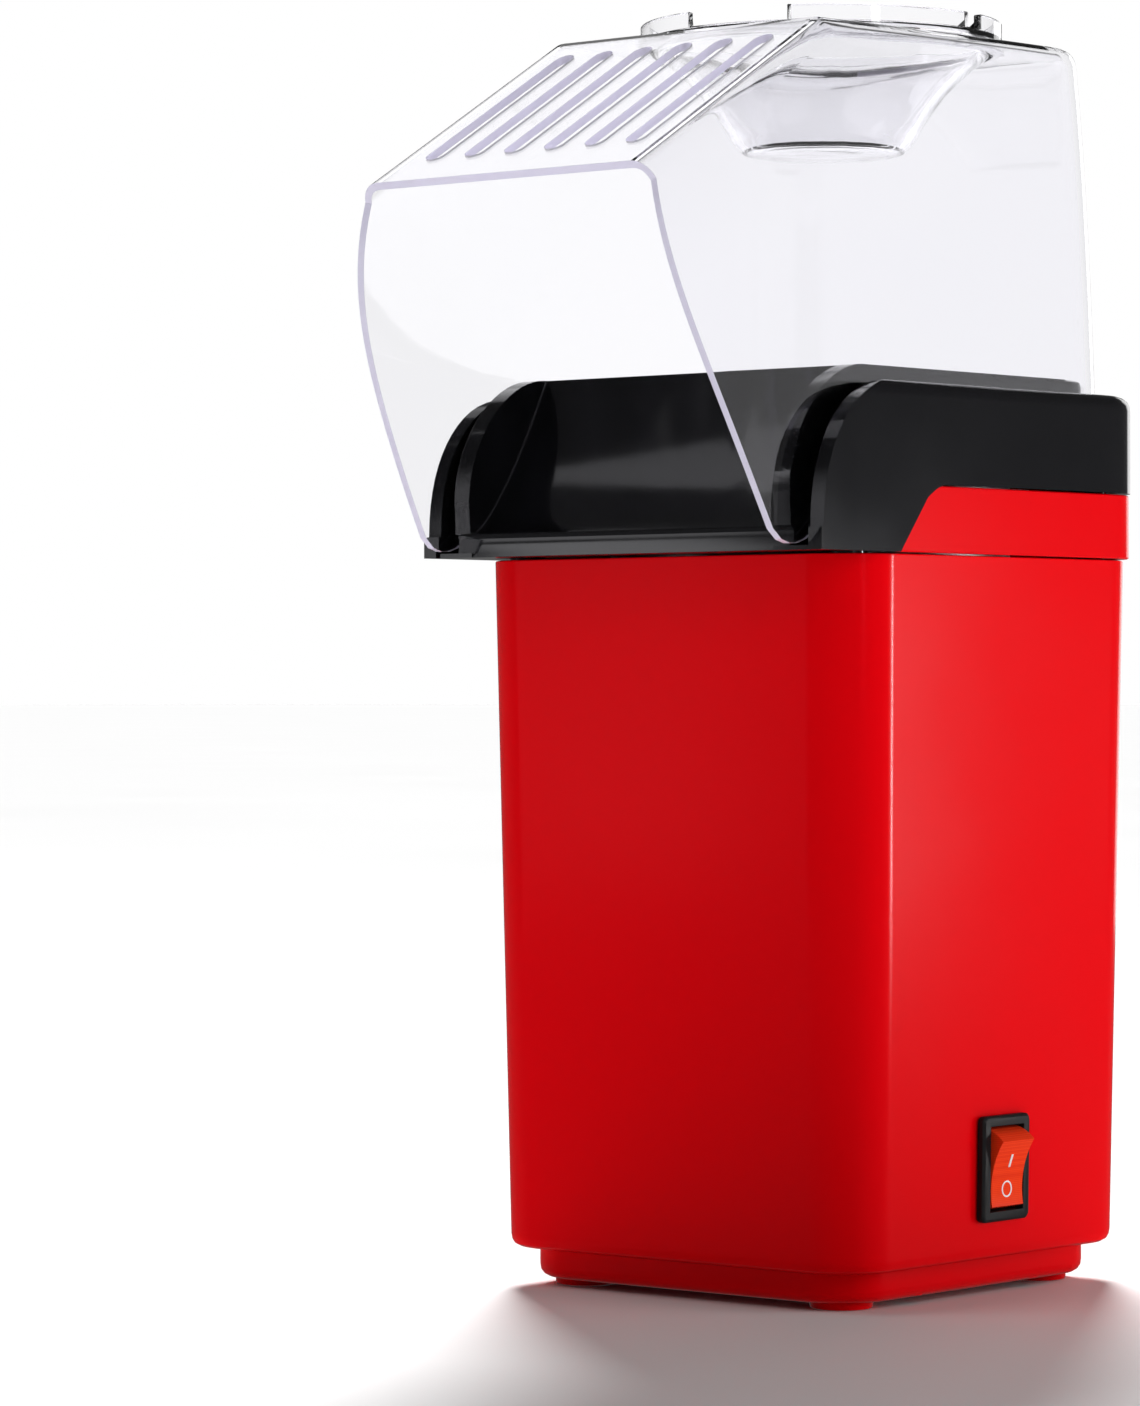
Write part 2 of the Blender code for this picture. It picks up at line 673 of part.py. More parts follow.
def cover_columns(front=6, middle=5, corner=6, rear=2, rows=8):
    """Columns of points on the right-hand half of the cover, from the mouth's edge round to the back."""
    roof_down, flat_down = Vector((0, 0.5, -0.866)), Vector((0, 0, -1))
    slope = (COVER_TOP - ROOF_FRONT[1]) / (ROOF_REAR_Y - ROOF_FRONT[0])
    columns = []
    for k in range(front + 1):
        w = k / front
        top_y = ROOF_FRONT[0] + (ROOF_REAR_Y - ROOF_FRONT[0]) * w
        top_z = ROOF_FRONT[1] + slope * (top_y - ROOF_FRONT[0])
        down = roof_down if k < front else (roof_down + flat_down).normalized()
        low_z = 155.6 + (COVER_BOTTOM - 155.6) * w
        dip = 9.0 * math.sin(math.pi * w**0.8)

        def path(v, w=w, top_y=top_y, top_z=top_z, down=down, low_z=low_z, dip=dip):
            end_y = top_y + down.y * COVER_ROUND
            end_z = top_z + down.z * COVER_ROUND
            z = low_z + (end_z - low_z) * v
            mouth_z = 155.6 + (ROOF_FRONT[1] - 155.6 + roof_down.z * COVER_ROUND) * v
            y = mouth_y(mouth_z) * (1 - w) + ROOF_REAR_Y * w
            y += (end_y - (mouth_y(mouth_z) * (1 - w) + ROOF_REAR_Y * w)) * v**3
            z -= dip * (1 - v) ** 4
            return Vector((cover_half(y, z), y, z))

        top = Vector((cover_half(top_y, top_z), top_y, top_z))
        columns.append(cover_column(top, None, None, path, Vector((-1, 0, 0)), down, rows))
    straight_end = COVER_REAR - COVER_CORNER

    def plan(z, side, angle, along):
        """A point of the plan at height z: on the side wall, round the corner or on the back wall."""
        rear_y = cover_rear(z)
        y_end = rear_y - COVER_CORNER
        if side is not None:
            y = ROOF_REAR_Y + (y_end - ROOF_REAR_Y) * side
            return Vector((cover_half(y, z), y, z))
        x_end = cover_half(y_end, z) - COVER_CORNER
        if angle is not None:
            a = math.radians(90 * angle)
            return Vector((x_end + COVER_CORNER * math.cos(a), y_end + COVER_CORNER * math.sin(a), z))
        return Vector((x_end * (1 - along), rear_y, z))

    stations = [(k / middle, None, None) for k in range(1, middle + 1)]
    stations += [(None, k / corner, None) for k in range(1, corner + 1)]
    stations += [(None, None, k / rear) for k in range(1, rear + 1)]
    for side, angle, along in stations:
        a = 0.0 if side is not None else math.radians(90 * (angle if angle is not None else 1.0))
        inward = -Vector((math.cos(a), math.sin(a), 0))
        end = COVER_TOP - COVER_ROUND

        def path(v, side=side, angle=angle, along=along, end=end):
            return plan(COVER_BOTTOM + (end - COVER_BOTTOM) * v, side, angle, along)

        columns.append(cover_column(plan(COVER_TOP, side, angle, along), None, None, path, inward, flat_down, rows))
    return columns, front


def build_clear_cover(pivot, at):
    columns, front = cover_columns()
    mirrored = [[Vector((-p.x, p.y, p.z)) for p in column] for column in reversed(columns[:-1])]
    bm = bmesh.new()
    grid = [[bm.verts.new(point) for point in column] for column in columns + mirrored]
    for left, right in zip(grid, grid[1:]):
        for i in range(len(left) - 1):
            bm.faces.new((left[i], right[i], right[i + 1], left[i + 1]))
    last = len(grid) - 1
    for k in range(front):
        bm.faces.new((grid[k][-1], grid[k + 1][-1], grid[last - k - 1][-1], grid[last - k][-1]))
    bm.faces.new([column[-1] for column in grid[front : last - front + 1]])
    bmesh.ops.recalc_face_normals(bm, faces=bm.faces)
    bmesh.ops.translate(bm, vec=-Vector(at), verts=bm.verts)
    cover = place("clear_cover", bm, "clear_plastic", pivot)
    skin = cover.modifiers.new("wall", "SOLIDIFY")
    skin.thickness = COVER_WALL * MM
    skin.offset = -1.0
    skin.use_even_offset = True
    skin.use_quality_normals = True

    start, end = Vector((0, *SLOT_FROM)), Vector((0, *SLOT_TO))
    along = end - start
    slots = bmesh.new()
    lean = Matrix.Rotation(math.atan2(along.z, along.y), 4, "X")
    for i in range(SLOT_COUNT):
        x = (i - (SLOT_COUNT - 1) / 2) * SLOT_PITCH
        reach = along.length / 2
        loop = []
        for end_y, first in ((reach, 0), (-reach, 180)):
            for step in range(7):
                angle = math.radians(first + 180 * step / 6)
                loop.append((SLOT_WIDTH / 2 * math.cos(angle), end_y + SLOT_WIDTH / 2 * math.sin(angle)))
        spot = Matrix.Translation((start + end) / 2 + Vector((x, 0, 0)) - Vector(at)) @ lean
        lower = [slots.verts.new(spot @ Vector((u, v, -5.0))) for u, v in loop]
        upper = [slots.verts.new(spot @ Vector((u, v, 5.0))) for u, v in loop]
        slots.faces.new(reversed(lower))
        slots.faces.new(upper)
        for j in range(len(loop)):
            n = (j + 1) % len(loop)
            slots.faces.new((lower[j], lower[n], upper[n], upper[j]))
    cut(cover, place("vent_slots", slots))
    hole = bmesh.new()
    add_cylinder(hole, HOLE_R, COVER_TOP - 6 - at[2], COVER_TOP + 4 - at[2], (0.0, CUP_Y - at[1]), 40)
    cut(cover, place("cup_hole", hole))


def build_measuring_cup(pivot):
    """Drawn round its own axis, with z = 0 on the cover's top face."""
    seat = GAP
    rim = CUP_TOP - COVER_TOP
    wall = 1.6
    inner = [(0.0, -20.8), (14.5, -20.8), (17.2, -19.0), (19.5, -15.6), (24.0, -9.0), (30.0, -3.2), (33.0, 0.2), (33.4, seat + wall)]
    outer = [
        (36.2, seat + wall),
        (36.2, rim),
        (CUP_RIM_R, rim),
        (CUP_RIM_R, seat),
        (35.2, seat),
        (35.0, -1.5),
        (31.4, -4.4),
        (25.3, -10.2),
        (20.9, -16.6),
        (18.2, -20.4),
        (15.0, -22.4),
        (0.0, -22.4),
    ]
    cup = turned("measuring_cup", inner + outer, "clear_plastic", pivot, steps=40)
    notches = bmesh.new()
    for middle, width in ((0.0, 32.0), (85.0, 7.0), (-85.0, 7.0)):
        half = math.radians(width / 2)
        base = seat + wall
        spread = 42.0 * math.sin(half)
        piece = bmesh.new()
        add_box(piece, (-spread, -48.0, base), (spread, -34.0, rim + 1.0))
        bmesh.ops.rotate(
            piece,
            cent=(0, 0, 0),
            matrix=Matrix.Rotation(math.radians(middle), 3, "Z"),
            verts=piece.verts,
        )
        mesh = bpy.data.meshes.new("notch")
        piece.to_mesh(mesh)
        piece.free()
        notches.from_mesh(mesh)
        bpy.data.meshes.remove(mesh)
    cut(cup, place("rim_notches", notches, smooth=False))


# ---------------------------------------------------------------- chamber, heater and fan


def build_popping_chamber(root):
    wall = 0.9
    rim = CHAMBER_RIM
    floor = CHAMBER_FLOOR
    chamber = turned(
        "popping_chamber",
        [
            (0.0, floor + wall + 3.0),
            (12.0, floor + wall + 1.0),
            (28.0, floor + wall),
            (CHAMBER_R - wall, floor + 7.0),
            (CHAMBER_R - wall, rim),
            (FLANGE_R, rim),
            (FLANGE_R, rim - 1.0),
            (CHAMBER_R, rim - 1.0),
            (CHAMBER_R, floor + 6.6),
            (28.4, floor),
            (12.0, floor),
            (0.0, floor + 2.0),
        ],
        "aluminium",
        root,
        steps=36,
    )
    louvres = bmesh.new()
    for i in range(12):
        turn = Matrix.Rotation(math.radians(i * 30 + 7.5), 4, "Z") @ Matrix.Translation((CHAMBER_R, 0, 114.0))
        lean = turn @ Matrix.Rotation(math.radians(32), 4, "X")
        piece = Matrix.Diagonal((6.0, 2.2, 13.0, 1.0))
        bmesh.ops.create_cube(louvres, size=1.0, matrix=lean @ piece)
    cut(chamber, place("louvres", louvres, smooth=False))
    holes = bmesh.new()
    for i in range(3):
        a = math.radians(90 + i * 120)
        add_cylinder(holes, 1.9, rim - 3, rim + 2, (43.9 * math.cos(a), 43.9 * math.sin(a)), 8)
    cut(chamber, place("flange_holes", holes))


def build_heater_sleeve(root):
    top = CHAMBER_RIM - 1.0 - GAP
    wall = 0.9
    sleeve = turned(
        "heater_sleeve",
        [
            (SLEEVE_R - wall, top),
            (FLANGE_R, top),
            (FLANGE_R, top - 1.2),
            (SLEEVE_R, top - 1.2),
            (SLEEVE_R, SLEEVE_BOTTOM),
            (SLEEVE_R - wall, SLEEVE_BOTTOM),
        ],
        "steel",
        root,
        steps=36,
    )
    holes = bmesh.new()
    for i in range(3):
        a = math.radians(90 + i * 120)
        add_cylinder(holes, 1.25, top - 3, top + 2, (43.9 * math.cos(a), 43.9 * math.sin(a)), 8)
    cut(sleeve, place("sleeve_flange_holes", holes))
    for angle, z in ((45, 84.0), (135, 84.0)):
        bm = bmesh.new()
        add_cylinder(bm, 2.2, 36.0, 48.0, segments=10)
        turn = Matrix.Rotation(math.radians(angle), 4, "Z") @ Matrix.Rotation(math.pi / 2, 4, "Y")
        bmesh.ops.transform(bm, matrix=Matrix.Translation((0, 0, z)) @ turn, verts=bm.verts)
        cut(sleeve, place("lead_hole", bm))
    for i in range(3):
        a = math.radians(90 + i * 120)
        screw(
            f"chamber_screw_{i + 1}", 2.8, 1.9, 1.05, 6.0, CHAMBER_RIM + GAP, root,
            (43.9 * math.cos(a), 43.9 * math.sin(a)),
        )


def build_fan_housing(root):
    low = DUCT_BOTTOM
    plate = low + DUCT_PLATE
    housing = turned(
        "fan_housing",
        [
            (DUCT_R - 1.2, 80.0),
            (DUCT_R, 80.0),
            (DUCT_R, low),
            (6.2, low),
            (6.2, plate),
            (DUCT_R - 3.0, plate),
            (DUCT_R - 3.0, SLEEVE_BOTTOM - GAP),
            (DUCT_R - 1.2, SLEEVE_BOTTOM - GAP),
        ],
        "duct_plastic",
        root,
        steps=36,
    )
    for sx in (-1, 1):
        for sy in (-1, 1):
            ear = bmesh.new()
            add_cylinder(ear, 4.6, low, low + 6.0, (sx * DUCT_POST, sy * DUCT_POST), 16)
            join(housing, place("duct_ear", ear))
    inside = bmesh.new()
    add_cylinder(inside, DUCT_R - 3.0, plate, plate + 20.0, segments=36)
    cut(housing, place("duct_inside", inside))
    vents = bmesh.new()
    for i in range(3):
        first = math.radians(i * 120 + 12)
        last = math.radians(i * 120 + 108)
        loop = []
        for k in range(9):
            a = first + (last - first) * k / 8
            loop.append((27.5 * math.cos(a), 27.5 * math.sin(a)))
        for k in range(8, -1, -1):
            a = first + (last - first) * k / 8
            loop.append((16.5 * math.cos(a), 16.5 * math.sin(a)))
        lower = [vents.verts.new((u, v, low - 2)) for u, v in loop]
        upper = [vents.verts.new((u, v, plate + 2)) for u, v in loop]
        vents.faces.new(reversed(lower))
        vents.faces.new(upper)
        for j in range(len(loop)):
            n = (j + 1) % len(loop)
            vents.faces.new((lower[j], lower[n], upper[n], upper[j]))
    cut(housing, place("air_ports", vents, smooth=False))
    holes = bmesh.new()
    for sx in (-1, 1):
        for sy in (-1, 1):
            add_cylinder(holes, 1.9, low - 2, low + 9, (sx * DUCT_POST, sy * DUCT_POST), 8)
        add_cylinder(holes, 1.6, low - 2, low + 9, (sx * 9.0, 0), 8)
    cut(housing, place("duct_holes", holes))
    n = 0
    for sx in (-1, 1):
        for sy in (-1, 1):
            n += 1
            screw(f"duct_screw_{n}", 2.9, 2.0, 1.1, 12.0, low + 6.0 + GAP, root, (sx * DUCT_POST, sy * DUCT_POST))
    for n, side in enumerate((-1, 1), 1):
        screw(f"motor_screw_{n}", 2.2, 1.5, 1.1, 6.0, plate + GAP, root, (side * 9.0, 0))


def build_motor(root):
    front = DUCT_BOTTOM - GAP
    can = turned(
        "motor_can",
        [
            (0.0, 30.0),
            (SHAFT_R + 0.06, 30.0),
            (SHAFT_R + 0.06, front + 2.2),
            (5.2, front + 2.2),
            (5.2, front),
            (MOTOR_R - 1.0, front),
            (MOTOR_R, front - 1.0),
            (MOTOR_R, MOTOR_BOTTOM),
            (0.0, MOTOR_BOTTOM),
        ],
        "steel",
        root,
        steps=32,
    )
    holes = bmesh.new()
    for side in (-1, 1):
        add_cylinder(holes, 1.4, front - 5.0, front + 2, (side * 9.0, 0), 8)
    cut(can, place("motor_screw_holes", holes))
    cap = cylinder("motor_end_cap", 13.0, 11.0, MOTOR_BOTTOM - GAP, "duct_plastic", root)
    tabs = bmesh.new()
    for side in (-1, 1):
        add_box(tabs, (side * 9.0 - 1.4, -0.4, 6.6), (side * 9.0 + 1.4, 0.4, 12.0))
    join(cap, place("motor_tabs", tabs, smooth=False))
    board = cylinder("rectifier_board", 13.4, 8.6, 10.1, "board", root)
    slots = bmesh.new()
    for side in (-1, 1):
        add_box(slots, (side * 9.0 - 1.8, -0.8, 8.0), (side * 9.0 + 1.8, 0.8, 11.0))
    cut(board, place("tab_slots", slots, smooth=False))
    for n, (x, y) in enumerate(((-3.4, 5.5), (3.4, 5.5), (-3.4, -5.5), (3.4, -5.5)), 1):
        bm = bmesh.new()
        add_cylinder(bm, 1.25, -2.6, 2.6, segments=10)
        bmesh.ops.transform(
            bm, matrix=Matrix.Translation((x, y, 7.0)) @ Matrix.Rotation(math.pi / 2, 4, "X"), verts=bm.verts
        )
        place(f"diode_{n}", bm, "lead_black", root)


def build_fan(pivot):
    """Drawn from the fan's pivot, at the machine's axis on the height of the impeller's underside."""
    height = FAN_TOP - FAN_BOTTOM
    hub = turned(
        "fan_impeller",
        [
            (0.0, height),
            (FAN_R, height),
            (FAN_R, height - 1.6),
            (6.0, height - 1.6),
            (5.6, 0.0),
            (SHAFT_R + 0.3, 0.0),
            (SHAFT_R + 0.3, height - 3.0),
            (0.0, height - 3.0),
        ],
        "fan_plastic",
        pivot,
        steps=32,
    )
    for i in range(9):
        blade = bmesh.new()
        add_box(blade, (9.0, -0.6, 2.0), (FAN_R - 0.5, 0.6, height - 1.0))
        bmesh.ops.transform(blade, matrix=Matrix.Rotation(math.radians(i * 40), 4, "Z"), verts=blade.verts)
        join(hub, place("blade", blade, smooth=False))
    cylinder("motor_shaft", SHAFT_R, 31.0 - FAN_BOTTOM, height - 4.0, "steel", pivot, segments=16)


def build_heater(root):
    low, high = 70.0, 86.0
    middle = (low + high) / 2
    half = COIL_R - 1.4
    for name, axis, z_from in (("mica_plate_wide", 0, low), ("mica_plate_cross", 1, middle)):
        size = [0.5, 0.5]
        size[axis] = half
        plate = box(name, (-size[0], -size[1], low), (size[0], size[1], high), "mica", root)
        cut(plate, box(name + "_slot", (-0.8, -0.8, z_from - 0.3), (0.8, 0.8, z_from + (high - low) / 2 + 0.3)))
    turns, per_turn = 5, 14
    points = [
        (
            COIL_R * math.cos(2 * math.pi * i / per_turn),
            COIL_R * math.sin(2 * math.pi * i / per_turn),
            low + 1.4 + 1.9 * i / per_turn,
        )
        for i in range(turns * per_turn + 1)
    ]
    wire("heating_coil", points, 0.6, "nichrome", root, sides=1)
    points = [
        (
            (COIL_R + 3.0) * math.cos(2 * math.pi * i / per_turn),
            (COIL_R + 3.0) * math.sin(2 * math.pi * i / per_turn),
            low + 4.0 + 2.6 * i / per_turn,
        )
        for i in range(2 * per_turn + 1)
    ]
    wire("dropper_coil", points, 0.45, "nichrome", root, sides=1)
    turned(
        "thermostat",
        [(0.0, 95.6), (8.0, 95.6), (8.0, 93.0), (7.0, 93.0), (7.0, 88.0), (0.0, 88.0)],
        "aluminium",
        root,
        steps=20,
    )
    bm = bmesh.new()
    add_cylinder(bm, 1.9, -6.0, 6.0, segments=12)
    bmesh.ops.transform(
        bm, matrix=Matrix.Translation((15.0, 3.2, 79.0)) @ Matrix.Rotation(math.pi / 2, 4, "Y"), verts=bm.verts
    )
    place("thermal_fuse", bm, "brass", root)


# ---------------------------------------------------------------- switch, inlet and leads


def build_switch(pivot):
    """Drawn from the centre of the bezel's back, x out of the wall."""
    half_y, half_z = BEZEL[0] / 2, BEZEL[1] / 2
    body = loft(
        "switch_body",
        [
            switch_loop(half_y, half_z, 1.2, GAP),
            switch_loop(half_y, half_z, 1.2, BEZEL_PROUD - 0.5),
            switch_loop(half_y - 0.5, half_z - 0.5, 1.0, BEZEL_PROUD),
        ],
        "black_plastic",
        pivot,
    )
    join(body, box("switch_barrel", (-13.0, -6.7, -9.6), (1.0, 6.7, 9.6)))
    cut(body, box("switch_cavity", (-10.4, -5.7, -8.7), (4.0, 5.7, 8.7)))
    pins = bmesh.new()
    add_cylinder(pins, 1.35, -6.3, 6.3, segments=12)
    bmesh.ops.transform(
        pins, matrix=Matrix.Translation((ROCKER_AXIS_X, 0, 0)) @ Matrix.Rotation(math.pi / 2, 4, "X"), verts=pins.verts
    )
    cut(body, place("rocker_sockets", pins))
    slots = bmesh.new()
    for z in (-6.0, 0.0, 6.0):
        add_box(slots, (-14.0, -2.7, z - 0.75), (-9.0, 2.7, z + 0.75))
    cut(body, place("terminal_slots", slots, smooth=False))
    for n, z in enumerate((-6.0, 0.0, 6.0), 1):
        blade = outline(
            f"switch_terminal_{n}",
            [(-21.0, -1.4), (-21.0, 1.4), (-20.0, 2.4), (-9.6, 2.4), (-9.6, -2.4), (-20.0, -2.4)],
            z - 0.4,
            z + 0.4,
            axis="Z",
            look="brass",
            parent=pivot,
        )
        hole = bmesh.new()
        add_cylinder(hole, 0.8, z - 2, z + 2, (-18.2, 0), 8)
        cut(blade, place("terminal_hole", hole))
    bm = bmesh.new()
    bmesh.ops.create_uvsphere(bm, u_segments=10, v_segments=6, radius=1.2)
    bmesh.ops.scale(bm, vec=(1.0, 2.6, 1.0), verts=bm.verts)
    bmesh.ops.translate(bm, vec=(-8.9, 0, 3.2), verts=bm.verts)
    place("switch_lamp", bm, "glass", pivot)


ROCKER_AXIS_X = BEZEL_PROUD - 3.2


def switch_loop(half_y, half_z, corner, x):
    flat = rounded_rectangle(half_y, -half_z, half_z, corner, 0.0, steps=3)
    return [Vector((x, p.x, p.y)) for p in flat]


def build_rocker(pivot):
    """Drawn unturned about its own axis; the pivot holds it with its lower end pressed in."""
    points = []
    for i in range(7):
        angle = math.radians(35 - 60 * i / 6)
        points.append((ROCKER_R * math.sin(angle), ROCKER_R * math.cos(angle)))
    back = [(-5.2, 4.0), (-5.2, -4.0)]
    lower = [(x, -z) for x, z in reversed(points)]
    outline_points = points + back + lower + [(3.5, 0.0)]
    flat = [(x, z) for x, z in outline_points]
    rocker = outline("switch_rocker", flat, -5.4, 5.4, axis="Z", look="rocker_red", parent=pivot)
    # the outline lies in x and y with its thickness along z: stand it up, so that it is x and z
    rocker.data.transform(Matrix.Rotation(math.pi / 2, 4, "X"))
    pins = bmesh.new()
    add_cylinder(pins, 1.1, -6.1, 6.1, segments=12)
    bmesh.ops.rotate(pins, cent=(0, 0, 0), matrix=Matrix.Rotation(math.pi / 2, 3, "X"), verts=pins.verts)
    join(rocker, place("rocker_pins", pins))


def build_inlet(root):
    y = body_half(INLET_Z)
    matrix = Matrix.Translation(Vector((0, y, INLET_Z)) * MM) @ Matrix.Rotation(-math.pi / 2, 4, "X")
    turned(
        "cord_bushing",
        [
            (3.6, 3.4),
            (5.6, 3.4),
            (8.0, 2.0),
            (8.0, GAP),
            (5.9, GAP),
            (5.9, -WALL - 0.6),
            (7.2, -WALL - 0.6),
            (6.2, -7.0),
            (3.6, -7.0),
        ],
        "rubber",
        root,
        steps=24,
        matrix=matrix,
    )


def build_leads(root):
    """The machine's own wiring, from the inlet to the switch and up to the heater and the motor."""
    back = body_half(INLET_Z) - 10.0
    wire("lead_live", smooth_route([(1.5, back, 20.5), (10, 33, 22), (24, 22, 24), (27.5, 8, 22.5), (25.4, 2.0, 21.0), (25.4, 0.0, 21.0)]), 1.1, "lead_black", root)
    wire(
        "lead_neutral",
        smooth_route(
            [(-1.5, back, 20.5), (-14, 36, 24), (-27, 38.5, 34), (-35.5, 38.5, 50), (-34.0, 34.2, 70), (-31.4, 31.4, 83), (-25.0, 25.0, 85)]
        ),
        1.1,
        "lead_white",
        root,
    )
    wire(
        "lead_switched",
        smooth_route([(26.0, 0.0, 33.4), (28.5, 10, 35.5), (39.0, 23, 38), (40.5, 31.0, 45), (36.5, 37.5, 58), (34.4, 34.4, 70), (31.4, 31.4, 83), (22.0, 22.0, 86)]),
        1.1,
        "lead_red",
        root,
    )
    wire("lead_motor", smooth_route([(-9.0, -3.2, 6.3), (-16, -9, 7), (-22, -16, 14), (-20, -19.5, 30), (-16.6, -16.0, 42), (-15.0, -15.6, 48)]), 0.8, "lead_red", root)


# ---------------------------------------------------------------- assembly


def main():
    clear_scene()
    root = empty("machine_axis", (0.0, BODY_Y, 0.0))

    build_main_housing(root)
    build_upper_band(root)
    build_base_cover(root)
    build_collar(root)
    build_chute(root)

    at = (0.0, 0.0, COVER_TOP)
    cover_pivot = empty("cover_seat", at, root)
    build_clear_cover(cover_pivot, at)
    build_measuring_cup(empty("cup_seat", (0.0, CUP_Y, COVER_TOP), root, (0, 0, CUP_TURN)))

    build_popping_chamber(root)
    build_heater_sleeve(root)
    build_fan_housing(root)
    build_motor(root)
    build_fan(empty("fan_axis", (0.0, 0.0, FAN_BOTTOM), root))
    build_heater(root)

    lean = math.atan2(HALF_TOP - HALF_BOTTOM, BODY_TOP - BODY_BOTTOM)
    wall_x = body_half(SWITCH_Z)
    switch = empty("switch_seat", (wall_x, 0.0, SWITCH_Z), root, (0.0, lean, 0.0))
    build_switch(switch)
    build_rocker(empty("rocker_axis", (ROCKER_AXIS_X, 0.0, 0.0), switch, (0.0, ROCKER_REST, 0.0)))
    build_inlet(root)
    build_leads(root)

    x, y = BASE_SCREW
    n = 0
    for sx in (-1, 1):
        for sy in (-1, 1):
            n += 1
            screw(f"base_screw_{n}", 2.9, 2.0, 1.1, 16.0, 4.4 - GAP, root, (sx * x, sy * y), flip=True)
            screw(f"chute_screw_{n}", 2.9, 2.0, 1.1, 12.0, SHELF[0] - GAP, root, (sx * POST, sy * POST), flip=True)


main()
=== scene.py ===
"""A countertop hot-air popcorn maker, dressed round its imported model.

Sizes in the classes are millimetres, measured from the machine's own upright axis: X across (the
switch is on +X), Y from the chute's mouth (-Y) to the back, Z up from the worktop.
"""

from __future__ import annotations

import logging
import math
from dataclasses import dataclass
from enum import Enum
from typing import Callable, Iterable, Sequence

import bpy
from mathutils import Matrix, Vector

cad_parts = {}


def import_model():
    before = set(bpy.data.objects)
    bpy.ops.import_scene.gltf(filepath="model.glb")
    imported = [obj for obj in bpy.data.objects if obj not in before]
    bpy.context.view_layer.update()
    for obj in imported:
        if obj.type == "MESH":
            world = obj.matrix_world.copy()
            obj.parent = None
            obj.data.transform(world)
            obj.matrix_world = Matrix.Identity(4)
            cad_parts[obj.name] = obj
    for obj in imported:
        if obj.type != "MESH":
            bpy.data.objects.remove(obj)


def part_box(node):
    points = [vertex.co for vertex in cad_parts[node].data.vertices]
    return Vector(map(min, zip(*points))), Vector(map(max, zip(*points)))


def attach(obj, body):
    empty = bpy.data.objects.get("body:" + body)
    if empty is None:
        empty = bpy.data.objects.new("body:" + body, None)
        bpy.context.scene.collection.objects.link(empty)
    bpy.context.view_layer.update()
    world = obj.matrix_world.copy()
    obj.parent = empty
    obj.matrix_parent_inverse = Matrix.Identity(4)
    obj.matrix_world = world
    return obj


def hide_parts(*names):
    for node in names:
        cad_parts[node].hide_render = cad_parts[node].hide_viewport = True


MM = 0.001
MERGE = 1e-6
ROOF_DOWN = Vector((0, 0.5, -0.866))
LOG = logging.getLogger("popcorn_maker")

Object = bpy.types.Object
Socket = bpy.types.NodeSocket
Tree = bpy.types.NodeTree
Point = tuple[float, float]
Triple = tuple[float, float, float]


# ---------------------------------------------------------------- finishes


class Pattern(Enum):
    """How a finish varies over a surface."""

    CLOUD = "cloud"
    RINGS = "rings"
    GRAIN = "grain"
    SPANGLE = "spangle"
    FLAKE = "flake"
    LENS = "lens"


def feed(tree: Tree, node: bpy.types.Node, inputs: dict) -> None:
    """Gives each named or numbered input of a node its value, or the socket that drives it."""
    for name, value in inputs.items():
        if isinstance(value, Socket):
            tree.links.new(value, node.inputs[name])
        else:
            node.inputs[name].default_value = value


def wire(tree: Tree, kind: str, output: str, inputs: dict, **settings: str) -> Socket:
    """Adds a shader node.

    Args:
        tree: the node tree.
        kind: the node's type.
        output: which of its outputs is wanted.
        inputs: its inputs, as feed takes them.
        settings: its own settings.

    Returns:
        The output.
    """
    node = tree.nodes.new(f"ShaderNode{kind}")
    for name, value in settings.items():
        setattr(node, name, value)
    feed(tree, node, inputs)
    return node.outputs[output]


